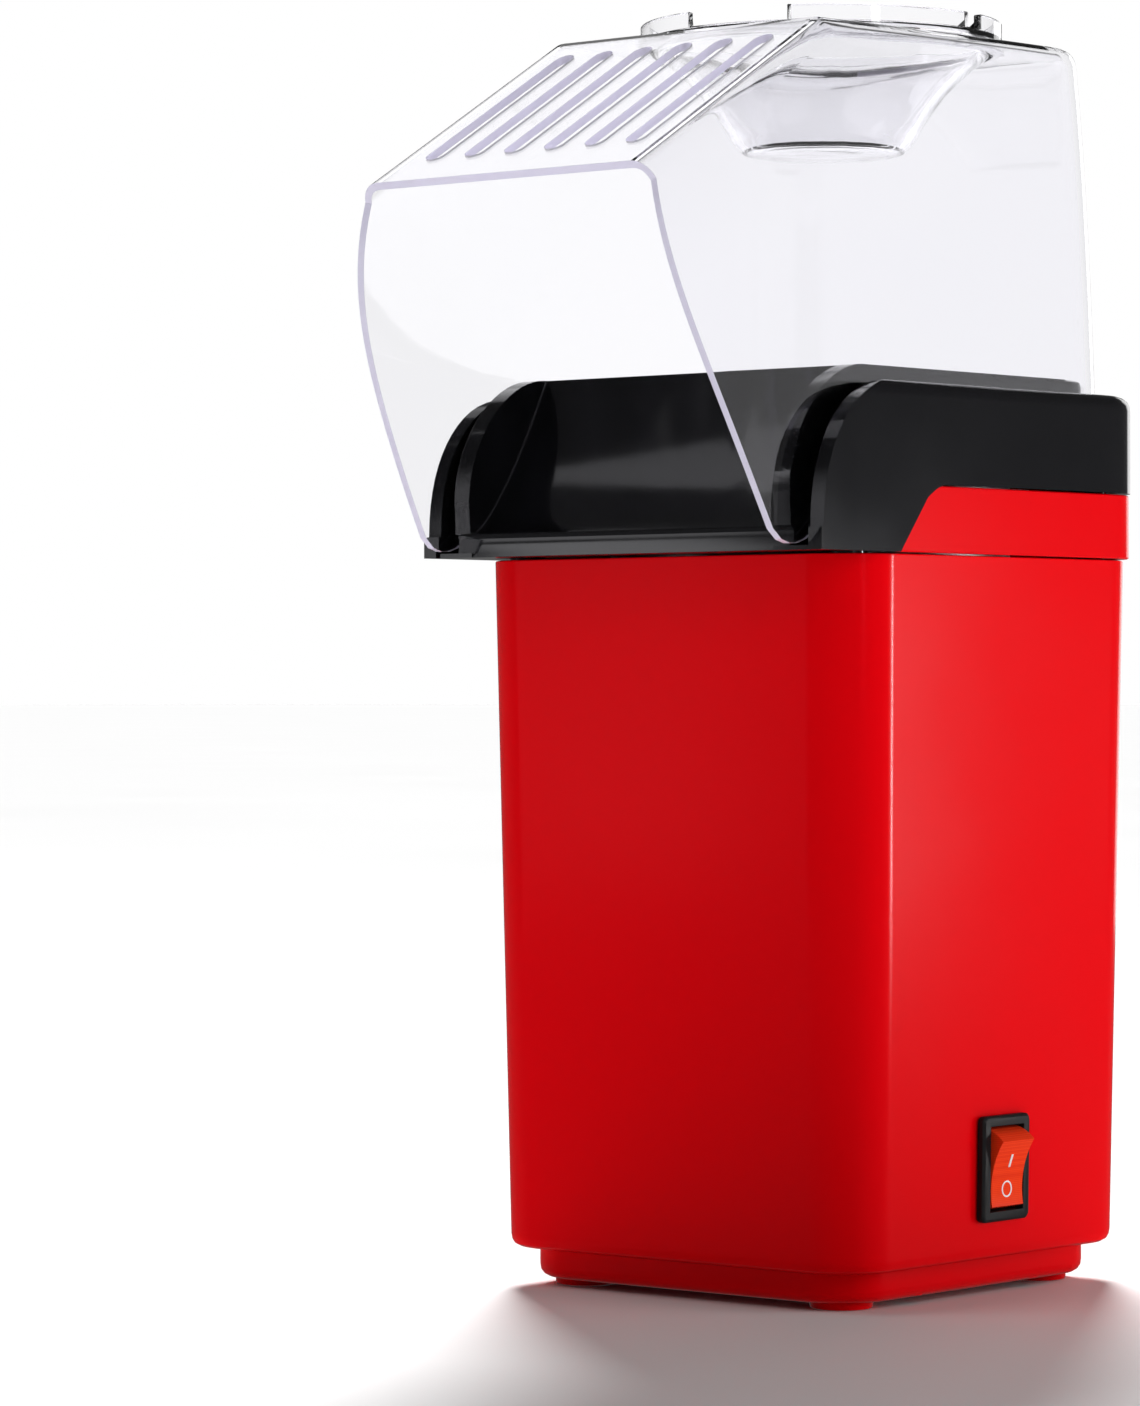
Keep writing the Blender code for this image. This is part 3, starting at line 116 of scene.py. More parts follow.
@dataclass(frozen=True)
class Finish:
    """One material: two colours that its pattern drifts between, a span of roughness, and a bump."""

    name: str
    colour: Triple
    second: Triple
    roughness: tuple[float, float]
    pattern: Pattern = Pattern.CLOUD
    scale: float = 60.0
    metallic: float = 0.0
    specular: float = 0.5
    tint: Triple = (1.0, 1.0, 1.0)
    transmission: float = 0.0
    ior: float = 1.5
    bump: float = 0.02
    bump_scale: float = 900.0
    bump_depth: float = 0.0002

    def _pattern(self, tree: Tree, coords: Socket) -> Socket:
        """Adds the pattern's own nodes.

        Args:
            tree: the material's node tree.
            coords: object coordinates.

        Returns:
            A socket that runs from 0 to 1 over the surface.
        """
        scales = {Pattern.RINGS: (0.15, 0.15, 8.0), Pattern.GRAIN: (1.0, 1.0, 0.08)}
        stretch = scales.get(self.pattern, (1.0, 1.0, 1.0))
        place = wire(tree, "Mapping", "Vector", {"Vector": coords, "Scale": stretch})
        lookup = {"Vector": place, "Scale": self.scale}
        if self.pattern is Pattern.LENS:
            return wire(tree, "TexVoronoi", "Distance", {**lookup, "Randomness": 0.0})
        if self.pattern in (Pattern.SPANGLE, Pattern.FLAKE):
            cells = wire(tree, "TexVoronoi", "Color", lookup)
            return wire(tree, "SeparateColor", "Red", {"Color": cells})
        return wire(tree, "TexNoise", "Fac", {**lookup, "Detail": 4.0})

    def material(self) -> bpy.types.Material:
        """Builds the material, or finds it if it's already built."""
        found = bpy.data.materials.get(self.name)
        if found:
            return found
        made = bpy.data.materials.new(self.name)
        made.use_nodes = True
        made.diffuse_color = (*self.colour, 1.0)
        tree = made.node_tree
        coords = wire(tree, "TexCoord", "Object", {})
        drift = self._pattern(tree, coords)
        ends = {"A": (*self.colour, 1.0), "B": (*self.second, 1.0)}
        low, high = self.roughness
        reach = {"From Min": 0.3, "From Max": 0.7, "To Min": low, "To Max": high}
        grain = wire(
            tree, "TexNoise", "Fac", {"Vector": coords, "Scale": self.bump_scale, "Detail": 2.0}
        )
        bump = {"Height": grain, "Strength": self.bump, "Distance": self.bump_depth}
        feed(tree, tree.nodes["Principled BSDF"], {
            "Base Color": wire(tree, "Mix", "Result", {"Factor": drift, **ends}, data_type="RGBA"),
            "Roughness": wire(tree, "MapRange", "Result", {"Value": drift, **reach}),
            "Normal": wire(tree, "Bump", "Normal", bump),
            "Metallic": self.metallic,
            "Specular IOR Level": self.specular,
            "Specular Tint": (*self.tint, 1.0),
            "Transmission Weight": self.transmission,
            "IOR": self.ior,
        })
        return made


RED = Finish(
    "red_gloss", (0.750, 0.0005, 0.0036), (0.710, 0.0004, 0.0030), (0.13, 0.17), scale=14,
    specular=0.10, tint=(1.0, 0.14, 0.19), bump=0.008, bump_scale=350,
)
BLACK = Finish(
    "black_gloss", (0.0035, 0.0035, 0.0045), (0.0050, 0.0050, 0.0060), (0.06, 0.11), scale=22,
    tint=(0.96, 0.96, 1.0), bump=0.01, bump_scale=300,
)
CLEAR = Finish(
    "clear_polycarbonate", (0.965, 0.962, 0.990), (0.975, 0.972, 0.992), (0.0, 0.035), scale=35,
    transmission=1.0, ior=1.46, bump=0.12, bump_scale=45, bump_depth=0.0004,
)
# Finish for the cut edges of the clear walls and slots. The lavender is partly the plastic's own tint seen
# along an edge and partly painted light: the lighter, nearly opaque finish is a painted sheen standing in
# for light carried along the clear edge.
EDGE_TINT_AND_SHEEN = Finish(
    "clear_edge_tint_and_sheen", (0.76, 0.73, 0.92), (0.84, 0.81, 0.96), (0.16, 0.26), scale=120, transmission=0.12,
    ior=1.46,
)
CUP_CLEAR = Finish(
    "clear_styrene", (0.970, 0.968, 0.988), (0.980, 0.978, 0.992), (0.0, 0.05), scale=45,
    transmission=1.0, ior=1.46, bump=0.15, bump_scale=60, bump_depth=0.0004,
)
ROCKER = Finish(
    "rocker_lens", (1.0, 0.075, 0.014), (0.72, 0.016, 0.004), (0.10, 0.18), Pattern.LENS, scale=2600,
    specular=0.10, tint=(1.0, 0.30, 0.20), transmission=0.05, bump=0.02,
)
MARK = Finish("switch_mark", (0.86, 0.84, 0.82), (0.78, 0.76, 0.74), (0.35, 0.45), scale=200)
BEZEL = Finish(
    "switch_black", (0.010, 0.010, 0.011), (0.016, 0.016, 0.017), (0.38, 0.50), scale=180,
    specular=0.12, bump=0.08,
)
ALUMINIUM = Finish(
    "drawn_aluminium", (0.78, 0.78, 0.80), (0.70, 0.70, 0.72), (0.20, 0.38), Pattern.RINGS, scale=260,
    metallic=1.0, bump=0.05,
)
SHEET = Finish(
    "galvanised_sheet", (0.60, 0.61, 0.63), (0.44, 0.45, 0.47), (0.28, 0.42), Pattern.SPANGLE, scale=130,
    metallic=1.0, bump=0.03,
)
SCREW = Finish("zinc_screw", (0.66, 0.66, 0.66), (0.52, 0.52, 0.50), (0.22, 0.36), scale=400, metallic=1.0)
DUCT = Finish(
    "moulded_duct", (0.028, 0.028, 0.030), (0.040, 0.040, 0.042), (0.45, 0.6), scale=90, bump=0.15
)
FAN = Finish("moulded_fan", (0.78, 0.76, 0.70), (0.72, 0.70, 0.63), (0.40, 0.52), scale=70, bump=0.1)
MICA = Finish(
    "mica_sheet", (0.50, 0.40, 0.26), (0.72, 0.62, 0.45), (0.2, 0.5), Pattern.FLAKE, scale=340, bump=0.1
)
WIRE = Finish("heating_wire", (0.30, 0.27, 0.26), (0.20, 0.19, 0.22), (0.35, 0.5), scale=300, metallic=1.0)
BRASS = Finish(
    "rolled_brass", (0.76, 0.55, 0.24), (0.66, 0.47, 0.20), (0.22, 0.36), Pattern.GRAIN, scale=500,
    metallic=1.0,
)
BOARD = Finish("circuit_board", (0.05, 0.20, 0.07), (0.08, 0.28, 0.10), (0.3, 0.45), scale=160)
DIODE = Finish("diode_epoxy", (0.014, 0.014, 0.014), (0.03, 0.03, 0.03), (0.4, 0.55), scale=500)
LAMP = Finish(
    "lamp_bulb", (0.95, 0.72, 0.55), (0.95, 0.60, 0.40), (0.02, 0.06), scale=200, transmission=0.9
)
RUBBER = Finish(
    "bushing_rubber", (0.012, 0.012, 0.013), (0.022, 0.022, 0.023), (0.55, 0.7), scale=120, bump=0.2
)
LEAD_WHITE = Finish("white_sleeve", (0.78, 0.77, 0.74), (0.72, 0.71, 0.68), (0.4, 0.55), scale=250)
LEAD_RED = Finish("red_sleeve", (0.52, 0.02, 0.02), (0.44, 0.02, 0.02), (0.4, 0.55), scale=250)
LEAD_BLACK = Finish("black_sleeve", (0.015, 0.015, 0.015), (0.025, 0.025, 0.025), (0.4, 0.55), scale=250)
FLOOR = Finish("pale_floor", (0.81, 0.81, 0.81), (0.79, 0.79, 0.79), (0.5, 0.6), scale=2, specular=0.1)


# ---------------------------------------------------------------- modelling steps


def only(obj: Object) -> None:
    """Makes obj the one selected, active object."""
    bpy.ops.object.select_all(action="DESELECT")
    obj.select_set(True)
    bpy.context.view_layer.objects.active = obj


def begin() -> None:
    """Deselects everything, so that the next primitive stands alone."""
    if bpy.context.object and bpy.context.object.mode != "OBJECT":
        bpy.ops.object.mode_set(mode="OBJECT")
    bpy.ops.object.select_all(action="DESELECT")


def settle(name: str) -> Object:
    """Names the primitive just added, and puts its place and size into its mesh."""
    obj = bpy.context.object
    obj.name = obj.data.name = name
    bpy.ops.object.transform_apply(location=True, rotation=True, scale=True)
    return obj


def edit(obj: Object, select: str = "SELECT") -> None:
    """Goes into edit mode on obj with everything, or with "DESELECT" nothing, selected."""
    only(obj)
    bpy.ops.object.mode_set(mode="EDIT")
    bpy.ops.mesh.select_all(action=select)


def leave() -> None:
    """Goes back to object mode."""
    bpy.ops.object.mode_set(mode="OBJECT")


def lift(rise: float) -> None:
    """Extrudes the selected faces upwards."""
    bpy.ops.mesh.extrude_region_move(TRANSFORM_OT_translate={"value": (0.0, 0.0, rise * MM)})


def tidy(obj: Object) -> Object:
    """Merges coincident points and turns every face outwards."""
    edit(obj)
    bpy.ops.mesh.remove_doubles(threshold=MERGE)
    bpy.ops.mesh.normals_make_consistent(inside=False)
    leave()
    return obj


def block(name: str, low: Triple, high: Triple) -> Object:
    """A box between two opposite corners."""
    begin()
    middle = [(a + b) / 2 * MM for a, b in zip(low, high)]
    bpy.ops.mesh.primitive_cube_add(size=1.0, location=middle)
    bpy.context.object.scale = [abs(b - a) * MM for a, b in zip(low, high)]
    return settle(name)


def rod(name: str, radius: float, z: Point, centre: Point = (0.0, 0.0), sides: int = 48) -> Object:
    """An upright cylinder from z[0] to z[1]."""
    begin()
    bpy.ops.mesh.primitive_cylinder_add(
        vertices=sides,
        radius=radius * MM,
        depth=(z[1] - z[0]) * MM,
        location=(centre[0] * MM, centre[1] * MM, (z[0] + z[1]) / 2 * MM),
    )
    return settle(name)


def tower(
    name: str,
    half: float,
    front: float,
    back: float,
    corner: float,
    levels: Sequence[Point],
    segments: int = 12,
    hollow: bool = False,
) -> Object:
    """A plate with rounded corners, drawn through a list of levels.

    Args:
        name: the piece's name.
        half: half the first plate's width.
        front: where the first plate starts in y.
        back: where the first plate ends in y.
        corner: the radius of its corners.
        levels: (growth, z) pairs; growth is how far each side stands outside the first plate.
        segments: steps round each corner.
        hollow: whether the last plate opens through the first.

    Returns:
        The closed mesh.
    """
    middle, deep = (front + back) / 2, (back - front) / 2
    begin()
    bpy.ops.mesh.primitive_plane_add(size=2.0, location=(0.0, middle * MM, levels[0][1] * MM))
    bpy.context.object.scale = (half * MM, deep * MM, 1.0)
    obj = settle(name)
    edit(obj)
    bpy.ops.mesh.bevel(offset=corner * MM, segments=segments, affect="VERTICES")
    bpy.ops.mesh.select_mode(type="FACE")
    bpy.ops.mesh.select_all(action="SELECT")
    grown, at = levels[0]
    stretch = ((half + grown) / half, (deep + grown) / deep, 1.0)
    bpy.ops.transform.resize(value=stretch, center_override=(0.0, middle * MM, at * MM))
    for growth, z in levels[1:]:
        if z == at and growth < grown:
            bpy.ops.mesh.inset(thickness=(grown - growth) * MM)
        else:
            lift(z - at)
            stretch = ((half + growth) / (half + grown), (deep + growth) / (deep + grown), 1.0)
            bpy.ops.transform.resize(value=stretch, center_override=(0.0, middle * MM, z * MM))
        grown, at = growth, z
    leave()
    if hollow:
        last = max(range(len(obj.data.polygons)), key=lambda i: (obj.data.polygons[i].select, i))
        first = next(
            p.index
            for p in obj.data.polygons
            if len(p.vertices) > 8 and p.index != last and abs(p.center.z - levels[0][1] * MM) < MERGE
        )
        edit(obj, "DESELECT")
        leave()
        obj.data.polygons[first].select = True
        obj.data.polygons[last].select = True
        bpy.ops.object.mode_set(mode="EDIT")
        bpy.ops.mesh.bridge_edge_loops()
        leave()
    return tidy(obj)


def profile(name: str, points: Iterable[Point], span: Point, upright: bool = True) -> Object:
    """A flat outline given thickness.

    Args:
        name: the piece's name.
        points: (y, z) points when upright, and (x, y) points when not.
        span: where the thickness starts and ends, along x when upright and along z when not.
        upright: whether the outline stands in the plane of y and z.

    Returns:
        The closed mesh.
    """
    begin()
    curve = bpy.data.curves.new(name, "CURVE")
    curve.dimensions, curve.fill_mode = "2D", "BOTH"
    curve.extrude = (span[1] - span[0]) / 2 * MM
    points = list(points)
    spline = curve.splines.new("POLY")
    spline.points.add(len(points) - 1)
    for point, (u, v) in zip(spline.points, points):
        point.co = (u * MM, v * MM, 0.0, 1.0)
    spline.use_cyclic_u = True
    obj = bpy.data.objects.new(name, curve)
    bpy.context.scene.collection.objects.link(obj)
    only(obj)
    bpy.ops.object.convert(target="MESH")
    middle = (span[0] + span[1]) / 2 * MM
    if upright:
        obj.matrix_world = Matrix(((0, 0, 1, middle), (1, 0, 0, 0), (0, 1, 0, 0), (0, 0, 0, 1)))
    else:
        obj.matrix_world = Matrix.Translation((0, 0, middle))
    settle(name)
    return tidy(obj)


def lathe(name: str, points: Sequence[Point], centre: Point = (0.0, 0.0), steps: int = 72) -> Object:
    """Spins a line of (radius, z) points round an upright axis through centre."""
    begin()
    start = (centre[0] * MM + points[0][0] * MM, centre[1] * MM, points[0][1] * MM)
    bpy.ops.mesh.primitive_plane_add(size=MM, location=start)
    obj = settle(name)
    edit(obj)
    bpy.ops.mesh.merge(type="CENTER")
    bpy.ops.mesh.select_mode(type="VERT")
    bpy.ops.mesh.select_all(action="SELECT")
    for (r0, z0), (r1, z1) in zip(points, points[1:]):
        bpy.ops.mesh.extrude_vertices_move(
            TRANSFORM_OT_translate={"value": ((r1 - r0) * MM, 0.0, (z1 - z0) * MM)}
        )
    bpy.ops.mesh.select_all(action="SELECT")
    bpy.ops.mesh.spin(
        steps=steps, angle=2 * math.pi, center=(centre[0] * MM, centre[1] * MM, 0.0), axis=(0.0, 0.0, 1.0)
    )
    leave()
    return tidy(obj)


def combine(obj: Object, tool: Object, operation: str) -> Object:
    """Cuts tool from obj, or joins it, and uses tool up."""
    only(obj)
    step = obj.modifiers.new("combine", "BOOLEAN")
    step.operation, step.solver, step.object = operation, "EXACT", tool
    bpy.ops.object.modifier_apply(modifier=step.name)
    bpy.data.objects.remove(tool, do_unlink=True)
    return obj


def cut(obj: Object, *tools: Object) -> Object:
    """Cuts each tool from obj."""
    for tool in tools:
        combine(obj, tool, "DIFFERENCE")
    return obj


def join(obj: Object, *tools: Object) -> Object:
    """Joins each tool to obj as one solid."""
    for tool in tools:
        combine(obj, tool, "UNION")
    return obj


def soften(obj: Object, width: float, segments: int = 3, above: float = 40.0) -> Object:
    """Rounds every edge sharper than an angle in degrees."""
    only(obj)
    step = obj.modifiers.new("soften", "BEVEL")
    step.width = width * MM
    step.segments = segments
    step.limit_method = "ANGLE"
    step.angle_limit = math.radians(above)
    bpy.ops.object.modifier_apply(modifier=step.name)
    return obj


def rounding(start: Point, end: Point, steps: int = 6, power: float = 1.0) -> list[Point]:
    """A quarter oval, from straight up at start to level at end."""
    found = []
    for i in range(steps + 1):
        angle = math.radians(90 * i / steps)
        out, up = max(math.cos(angle), 0.0) ** power, math.sin(angle) ** power
        found.append((end[0] + (start[0] - end[0]) * out, start[1] + (end[1] - start[1]) * up))
    return found


def signs() -> list[tuple[int, int]]:
    """The four corners' signs in x and y."""
    return [(x, y) for x in (-1, 1) for y in (-1, 1)]


# ---------------------------------------------------------------- the machine


@dataclass
class Machine:
    """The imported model's frame, and what every finished piece goes through."""

    axis_y: float

    @classmethod
    def load(cls) -> Machine:
        """Loads the frame and finds the machine's upright axis, which is the popping chamber's."""
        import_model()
        low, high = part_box("popping_chamber")
        return cls((low.y + high.y) / 2)

    def place(
        self,
        obj: Object,
        body: str,
        finish: Finish,
        slot: str,
        nodes: Sequence[str] = (),
        angle: float = 30.0,
        drawn: bool = True,
    ) -> Object:
        """Dresses a piece and makes it ride.

        Args:
            obj: the piece.
            body: the body that it moves with.
            finish: its finish.
            slot: the name of a material slot; not used.
            nodes: the plain solids that it stands for.
            angle: edges below this angle in degrees are shaded smooth.
            drawn: whether it was drawn round the machine's axis and has to move there.

        Returns:
            The piece.
        """
        if drawn:
            obj.data.transform(Matrix.Translation((0.0, self.axis_y, 0.0)))
        only(obj)
        bpy.ops.object.shade_smooth_by_angle(angle=math.radians(angle))
        weights = obj.modifiers.new("even_shading", "WEIGHTED_NORMAL")
        weights.keep_sharp = True
        bpy.ops.object.modifier_apply(modifier=weights.name)
        if not obj.data.materials:
            obj.data.materials.append(finish.material())
        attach(obj, body)
        if nodes:
            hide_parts(*nodes)
        LOG.info("%s: %d faces, on %s", obj.name, len(obj.data.polygons), body)
        return obj

    def smooth_copy(self, node: str, body: str, finish: Finish, slot: str, edge: float = 0.0) -> Object:
        """Stands a merged, smooth copy in for a plain solid, its edges broken by edge mm."""
        source = bpy.data.objects[node]
        obj = bpy.data.objects.new(f"{node}_finished", source.data.copy())
        obj.data.materials.clear()
        bpy.context.scene.collection.objects.link(obj)
        edit(obj)
        bpy.ops.mesh.remove_doubles(threshold=MERGE)
        bpy.ops.mesh.tris_convert_to_quads(
            face_threshold=math.radians(1), shape_threshold=math.radians(180)
        )
        leave()
        if edge:
            soften(obj, edge, 2, 50.0)
        return self.place(obj, body, finish, slot, [node], drawn=False)


@dataclass
class Housing:
    """The red mouldings: the tapered housing, the band above its seam and the base."""

    bottom: float = 7.9
    top: float = 151.3
    half_bottom: float = 48.2
    half_top: float = 50.6
    corner: float = 12.0
    wall: float = 2.2
    lip: float = 40.0
    screw: Point = (38.5, 20.0)
    shelf: Point = (110.0, 113.0)
    post: float = 42.0
    switch_z: float = 26.7
    inlet_z: float = 20.0
    band_half: float = 51.5
    band_top: float = 165.0
    base_half: float = 43.8
    base_top: float = 7.6
    foot: float = 1.5
    duct_post: float = 33.0
    duct_bottom: float = 44.0
    window: Point = (7.0, 9.9)
    inlet: float = 6.2
    grille: float = 27.0
    grille_pitch: float = 6.0

    def half(self, z: float) -> float:
        """Half the housing's width at height z."""
        return self.half_bottom + (
            self.half_top - self.half_bottom
        ) * (z - self.bottom) / (self.top - self.bottom)

    def shell(self) -> Object:
        """The housing's tapered tube, with its bosses, shelves and holes."""
        low, grow = self.bottom, self.half_top - self.half_bottom
        levels = [(-2.6, low), (-1.3, low + 0.25), (-0.5, low + 0.8), (-0.1, low + 1.7), (0.05, low + 2.8)]
        levels += [(grow - 0.02, self.top - 0.35), (grow - 0.12, self.top - 0.1), (grow - 0.4, self.top)]
        levels += [(grow - self.wall, self.top), (-self.wall, low + self.wall)]
        levels += [(self.lip - self.half_bottom, low + self.wall), (self.lip - self.half_bottom, low)]
        half = self.half_bottom
        shell = tower("housing_shell", half, -half, half, self.corner, levels, hollow=True)
        for sx, sy in signs():
            spot = (sx * self.screw[0], sy * self.screw[1])
            join(shell, rod("boss", 3.4, (low + 0.6, 30.0), spot))
        inner = self.half(self.shelf[0]) - 1.0
        shelves = tower(
            "shelves", inner, -inner, inner, self.corner - 1.0, [(0, self.shelf[0]), (0, self.shelf[1])]
        )
        cut(shelves, rod("middle", 53.0, (self.shelf[0] - 1, self.shelf[1] + 1), sides=96))
        join(shell, shelves)
        for sx, sy in signs():
            cut(shell, rod("pilot", 1.4, (low - 1, 24.0), (sx * self.screw[0], sy * self.screw[1]), 16))
            cut(
                shell,
                rod(
                    "pass", 1.8, (self.shelf[0] - 1, self.shelf[1] + 1), (sx * self.post, sy * self.post),
                    16,
                ),
            )
        cut(shell, self._window())
        hole = rod("inlet", self.inlet, (-6.0, 6.0))
        hole.data.transform(
            Matrix.Translation((0, self.half(self.inlet_z) * MM, self.inlet_z * MM))
            @ Matrix.Rotation(math.pi / 2, 4, "X")
        )
        return cut(shell, hole)

    def _window(self) -> Object:
        """A cutter for the switch's window in the right-hand wall."""
        across, up = self.window
        return block("window", (40, -across, self.switch_z - up), (60, across, self.switch_z + up))

    def slant(self, shift: float = 0.0) -> list[Point]:
        """The band's front end as (y, z) points, moved forwards by shift."""
        start, end = Vector((-41.0, self.top - 4.0)), Vector((-28.4, 162.6))
        points = [(start.x, start.y), (end.x, end.y)]
        for i in range(1, 9):
            angle = math.radians(i * 6)
            rise = (self.band_top - end.y) * math.sin(angle * 90 / 48)
            points.append((end.x + 7.0 * math.sin(angle), end.y + rise))
        return [(y - shift, z) for y, z in points]

    def band(self) -> Object:
        """The band round the sides and the back, above the seam."""
        low, high = self.top + 0.3, self.band_top
        levels = [
            (-0.3, low), (0.0, low + 0.3), (0.0, high - 0.25), (-0.25, high), (-self.wall, high),
            (-self.wall, low),
        ]
        band = tower(
            "upper_band_skin", self.band_half, -90, self.band_half + 0.6, 13.5, levels, hollow=True
        )
        slant = self.slant()
        front = [(-110, 140), *slant, (slant[-1][0], 190), (-110, 190)]
        return soften(cut(band, profile("front", front, (-60, 60))), 0.3, 2, 45)

    def base(self) -> Object:
        """The base: a tray with feet, posts for the fan housing, screw seats and the intake grille."""
        low = self.foot
        levels = [(-2.8, low), (-1.4, low + 0.25), (-0.6, low + 0.8), (-0.12, low + 1.7), (0, low + 2.8)]
        levels += [(0, self.base_top), (-self.wall, self.base_top), (-self.wall, low + 2.4)]
        half = self.base_half
        base = tower("base_tray", half, -half, half, 11.5, levels)
        for sx, sy in signs():
            foot = tower_foot(6.4, self.foot)
            foot.data.transform(Matrix.Translation((sx * 33.6 * MM, sy * 33.6 * MM, 0)))
            join(base, foot)
            post = (sx * self.duct_post, sy * self.duct_post)
            seat = (sx * self.screw[0], sy * self.screw[1])
            join(base, rod("post", 3.6, (low + 0.5, self.duct_bottom - 0.3), post, 32))
            join(base, rod("seat", 4.6, (low + 0.5, self.base_top), seat, 32))
            cut(base, rod("counterbore", 3.4, (-1, 4.4), seat, 32), rod("shank", 1.8, (3, 12), seat, 20))
            cut(base, rod("pilot", 1.3, (30, 50), post, 16))
        for i in range(-4, 5):
            y = i * self.grille_pitch
            reach = math.sqrt(self.grille**2 - y**2)
            for side in (-1, 1):
                x = sorted((side * 1.5, side * reach))
                cut(base, block("slot", (x[0], y - 1.6, 0.5), (x[1], y + 1.6, 6.0)))
        return base

    def build(self, machine: Machine) -> None:
        """Builds the red mouldings."""
        machine.place(self.shell(), "machine", RED, "red_plastic", ["main_housing"])
        machine.place(self.band(), "machine", RED, "red_plastic", ["upper_band"])
        machine.place(self.base(), "machine", RED, "red_plastic", ["base_cover"])


def tower_foot(radius: float, height: float) -> Object:
    """A round foot with a softened lower edge, at the origin."""
    points = [
        (0, height + 1.0), (radius, height + 1.0), (radius, 0.5), (radius - 0.15, 0.15), (radius - 0.5, 0),
        (0, 0),
    ]
    return lathe("foot", points, steps=40)


@dataclass
class Crown:
    """The black mouldings: the collar round the top and the chute inside it."""

    collar_half: float = 52.0
    collar_back: float = 52.5
    collar_front: float = -62.8
    collar_bottom: float = 151.6
    collar_top: float = 185.9
    collar_inner: float = 48.7
    chute_half: float = 43.4
    chute_back: float = 46.2
    chute_top: float = 189.0
    chute_front: float = -63.7
    arm: float = 4.0
    lip_top: float = 156.4
    groove: float = 152.5
    deck: Point = (170.6, 172.6)
    throat: float = 36.0

    def collar(self, housing: Housing) -> Object:
        """The collar: two side panels with swept fronts, joined round the back."""
        high = self.collar_top
        edge = [
            (-3.3, high), (-2.1, high - 0.12), (-1.2, high - 0.5), (-0.5, high - 1.2), (-0.12, high - 2.1),
            (0, high - 3.2),
        ]
        levels = [(0, self.collar_bottom), *reversed(edge)]
        levels += [
            (self.collar_inner - self.collar_half, high),
            (self.collar_inner - self.collar_half, self.collar_bottom),
        ]
        collar = tower(
            "collar_skin", self.collar_half, -90, self.collar_back, 14.5, levels, 14, hollow=True
        )
        sweep = rounding((self.collar_front, 156.0), (-37.0, high + 0.01), 16, 0.93)
        ahead = [
            (-110, 100), (-110, 210), (sweep[-1][0], 210), *reversed(sweep), (self.collar_front - 0.7, 156),
            (self.collar_front - 0.7, 100),
        ]
        cut(collar, profile("sweep", ahead, (-60, 60)))
        slant = housing.slant(0.3)
        over = housing.band_top + 0.3
        recess = [(-41.3, 100), *slant[:-1], (slant[-1][0], over), (80, over), (80, 100)]
        cut(collar, profile("recess", recess, (-60, 60)))
        cut(collar, block("opening", (-self.collar_inner, -120, 100), (self.collar_inner, -50, 210)))
        return soften(collar, 1.1, 4, 50)

    def scoop(self, back: float = 0.0, steps: int = 20) -> list[Point]:
        """The scoop between the arms as (y, z) points from its rim to the lip, moved back."""
        top, foot, bulge = Vector(
            (-39.0, self.chute_top)
        ), Vector((-61.6, self.lip_top)), Vector((-51.6, 163.5))
        points = []
        for i in range(steps + 1):
            t = i / steps
            spot = top * (1 - t) ** 2 + bulge * 2 * t * (1 - t) + foot * t**2
            points.append((spot.x + back, spot.y - back * 0.25))
        return points

    def chute(self) -> Object:
        """The chute: pouring arms, scoop, lip, funnel and throat, in one moulding."""
        base, top, front = self.deck[0], self.chute_top, self.chute_front
        crest = rounding((front, 163.0), (-40.0, top), 18, 1.1)
        side = [
            (front + 1.1, self.collar_bottom), (front + 1.5, 155.2), (front + 1.1, 156.1),
            (front + 0.4, self.lip_top),
            *crest, (30.0, top), (30.0, base), (-46.6, base), (-46.6, self.collar_bottom),
        ]
        body = soften(profile("chute_skin", side, (-self.chute_half, self.chute_half)), 1.3, 4, 60)
        strip = tower(
            "strip", self.chute_half, -30, self.chute_back, 13.5,
            [(0, base), (0, top - 1.2), (-0.35, top - 0.35), (-1.2, top)],
        )
        deck = tower(
            "deck", self.collar_inner - 0.4, -80, self.collar_back - 3.8, 11.0,
            [(0, base), (0, self.deck[1])],
        )
        cut(deck, block("deck_front", (-60, -90, 160), (60, -36, 180)))
        cut(strip, block("strip_front", (-60, -40, 160), (60, 8, 200)))
        join(body, strip, deck)
        edge = self.collar_inner - 0.3
        inner = self.chute_half - self.arm
        for sign in (-1, 1):
            x = sorted((sign * inner, sign * edge))
            low = (x[0], self.collar_front, self.collar_bottom)
            join(body, block("floor", low, (x[1], -35.4, self.groove)))
            join(body, block("end", (x[0], -36.2, self.collar_bottom), (x[1], -34.8, self.deck[1])))
        for sx, sy in signs():
            high = base + 0.8 if sy > 0 else self.groove - 0.2
            join(body, rod("post", 3.8, (113.3, high), (sx * 42, sy * 42), 32))
            cut(body, rod("pilot", 1.3, (111, 127), (sx * 42, sy * 42), 16))
        ring = [
            (38.0, base + 1), (38.0, 168.0), (self.throat - 0.5, 168.0), (self.throat - 0.5, base + 1),
            (38.0, base + 1),
        ]
        join(body, lathe("ring", ring, steps=96))
        scoop = profile(
            "scoop", [*self.scoop(), (-80, self.lip_top), (-80, 200), (-39.0, 200)], (-inner, inner)
        )
        cut(body, soften(scoop, 3.2, 5, 60))
        hollow = [p for p in self.scoop(3.0) if p[0] > -58.4 and p[1] < 185.0]
        behind = [(-58.4, 153.4), *reversed(hollow), (-39.3, 186.0), (-37.4, 186.0), (-37.4, 153.4)]
        cut(body, profile("behind", behind, (-inner + 0.6, inner - 0.6)))
        cut(body, self.funnel())
        return soften(body, 0.5, 3, 55)

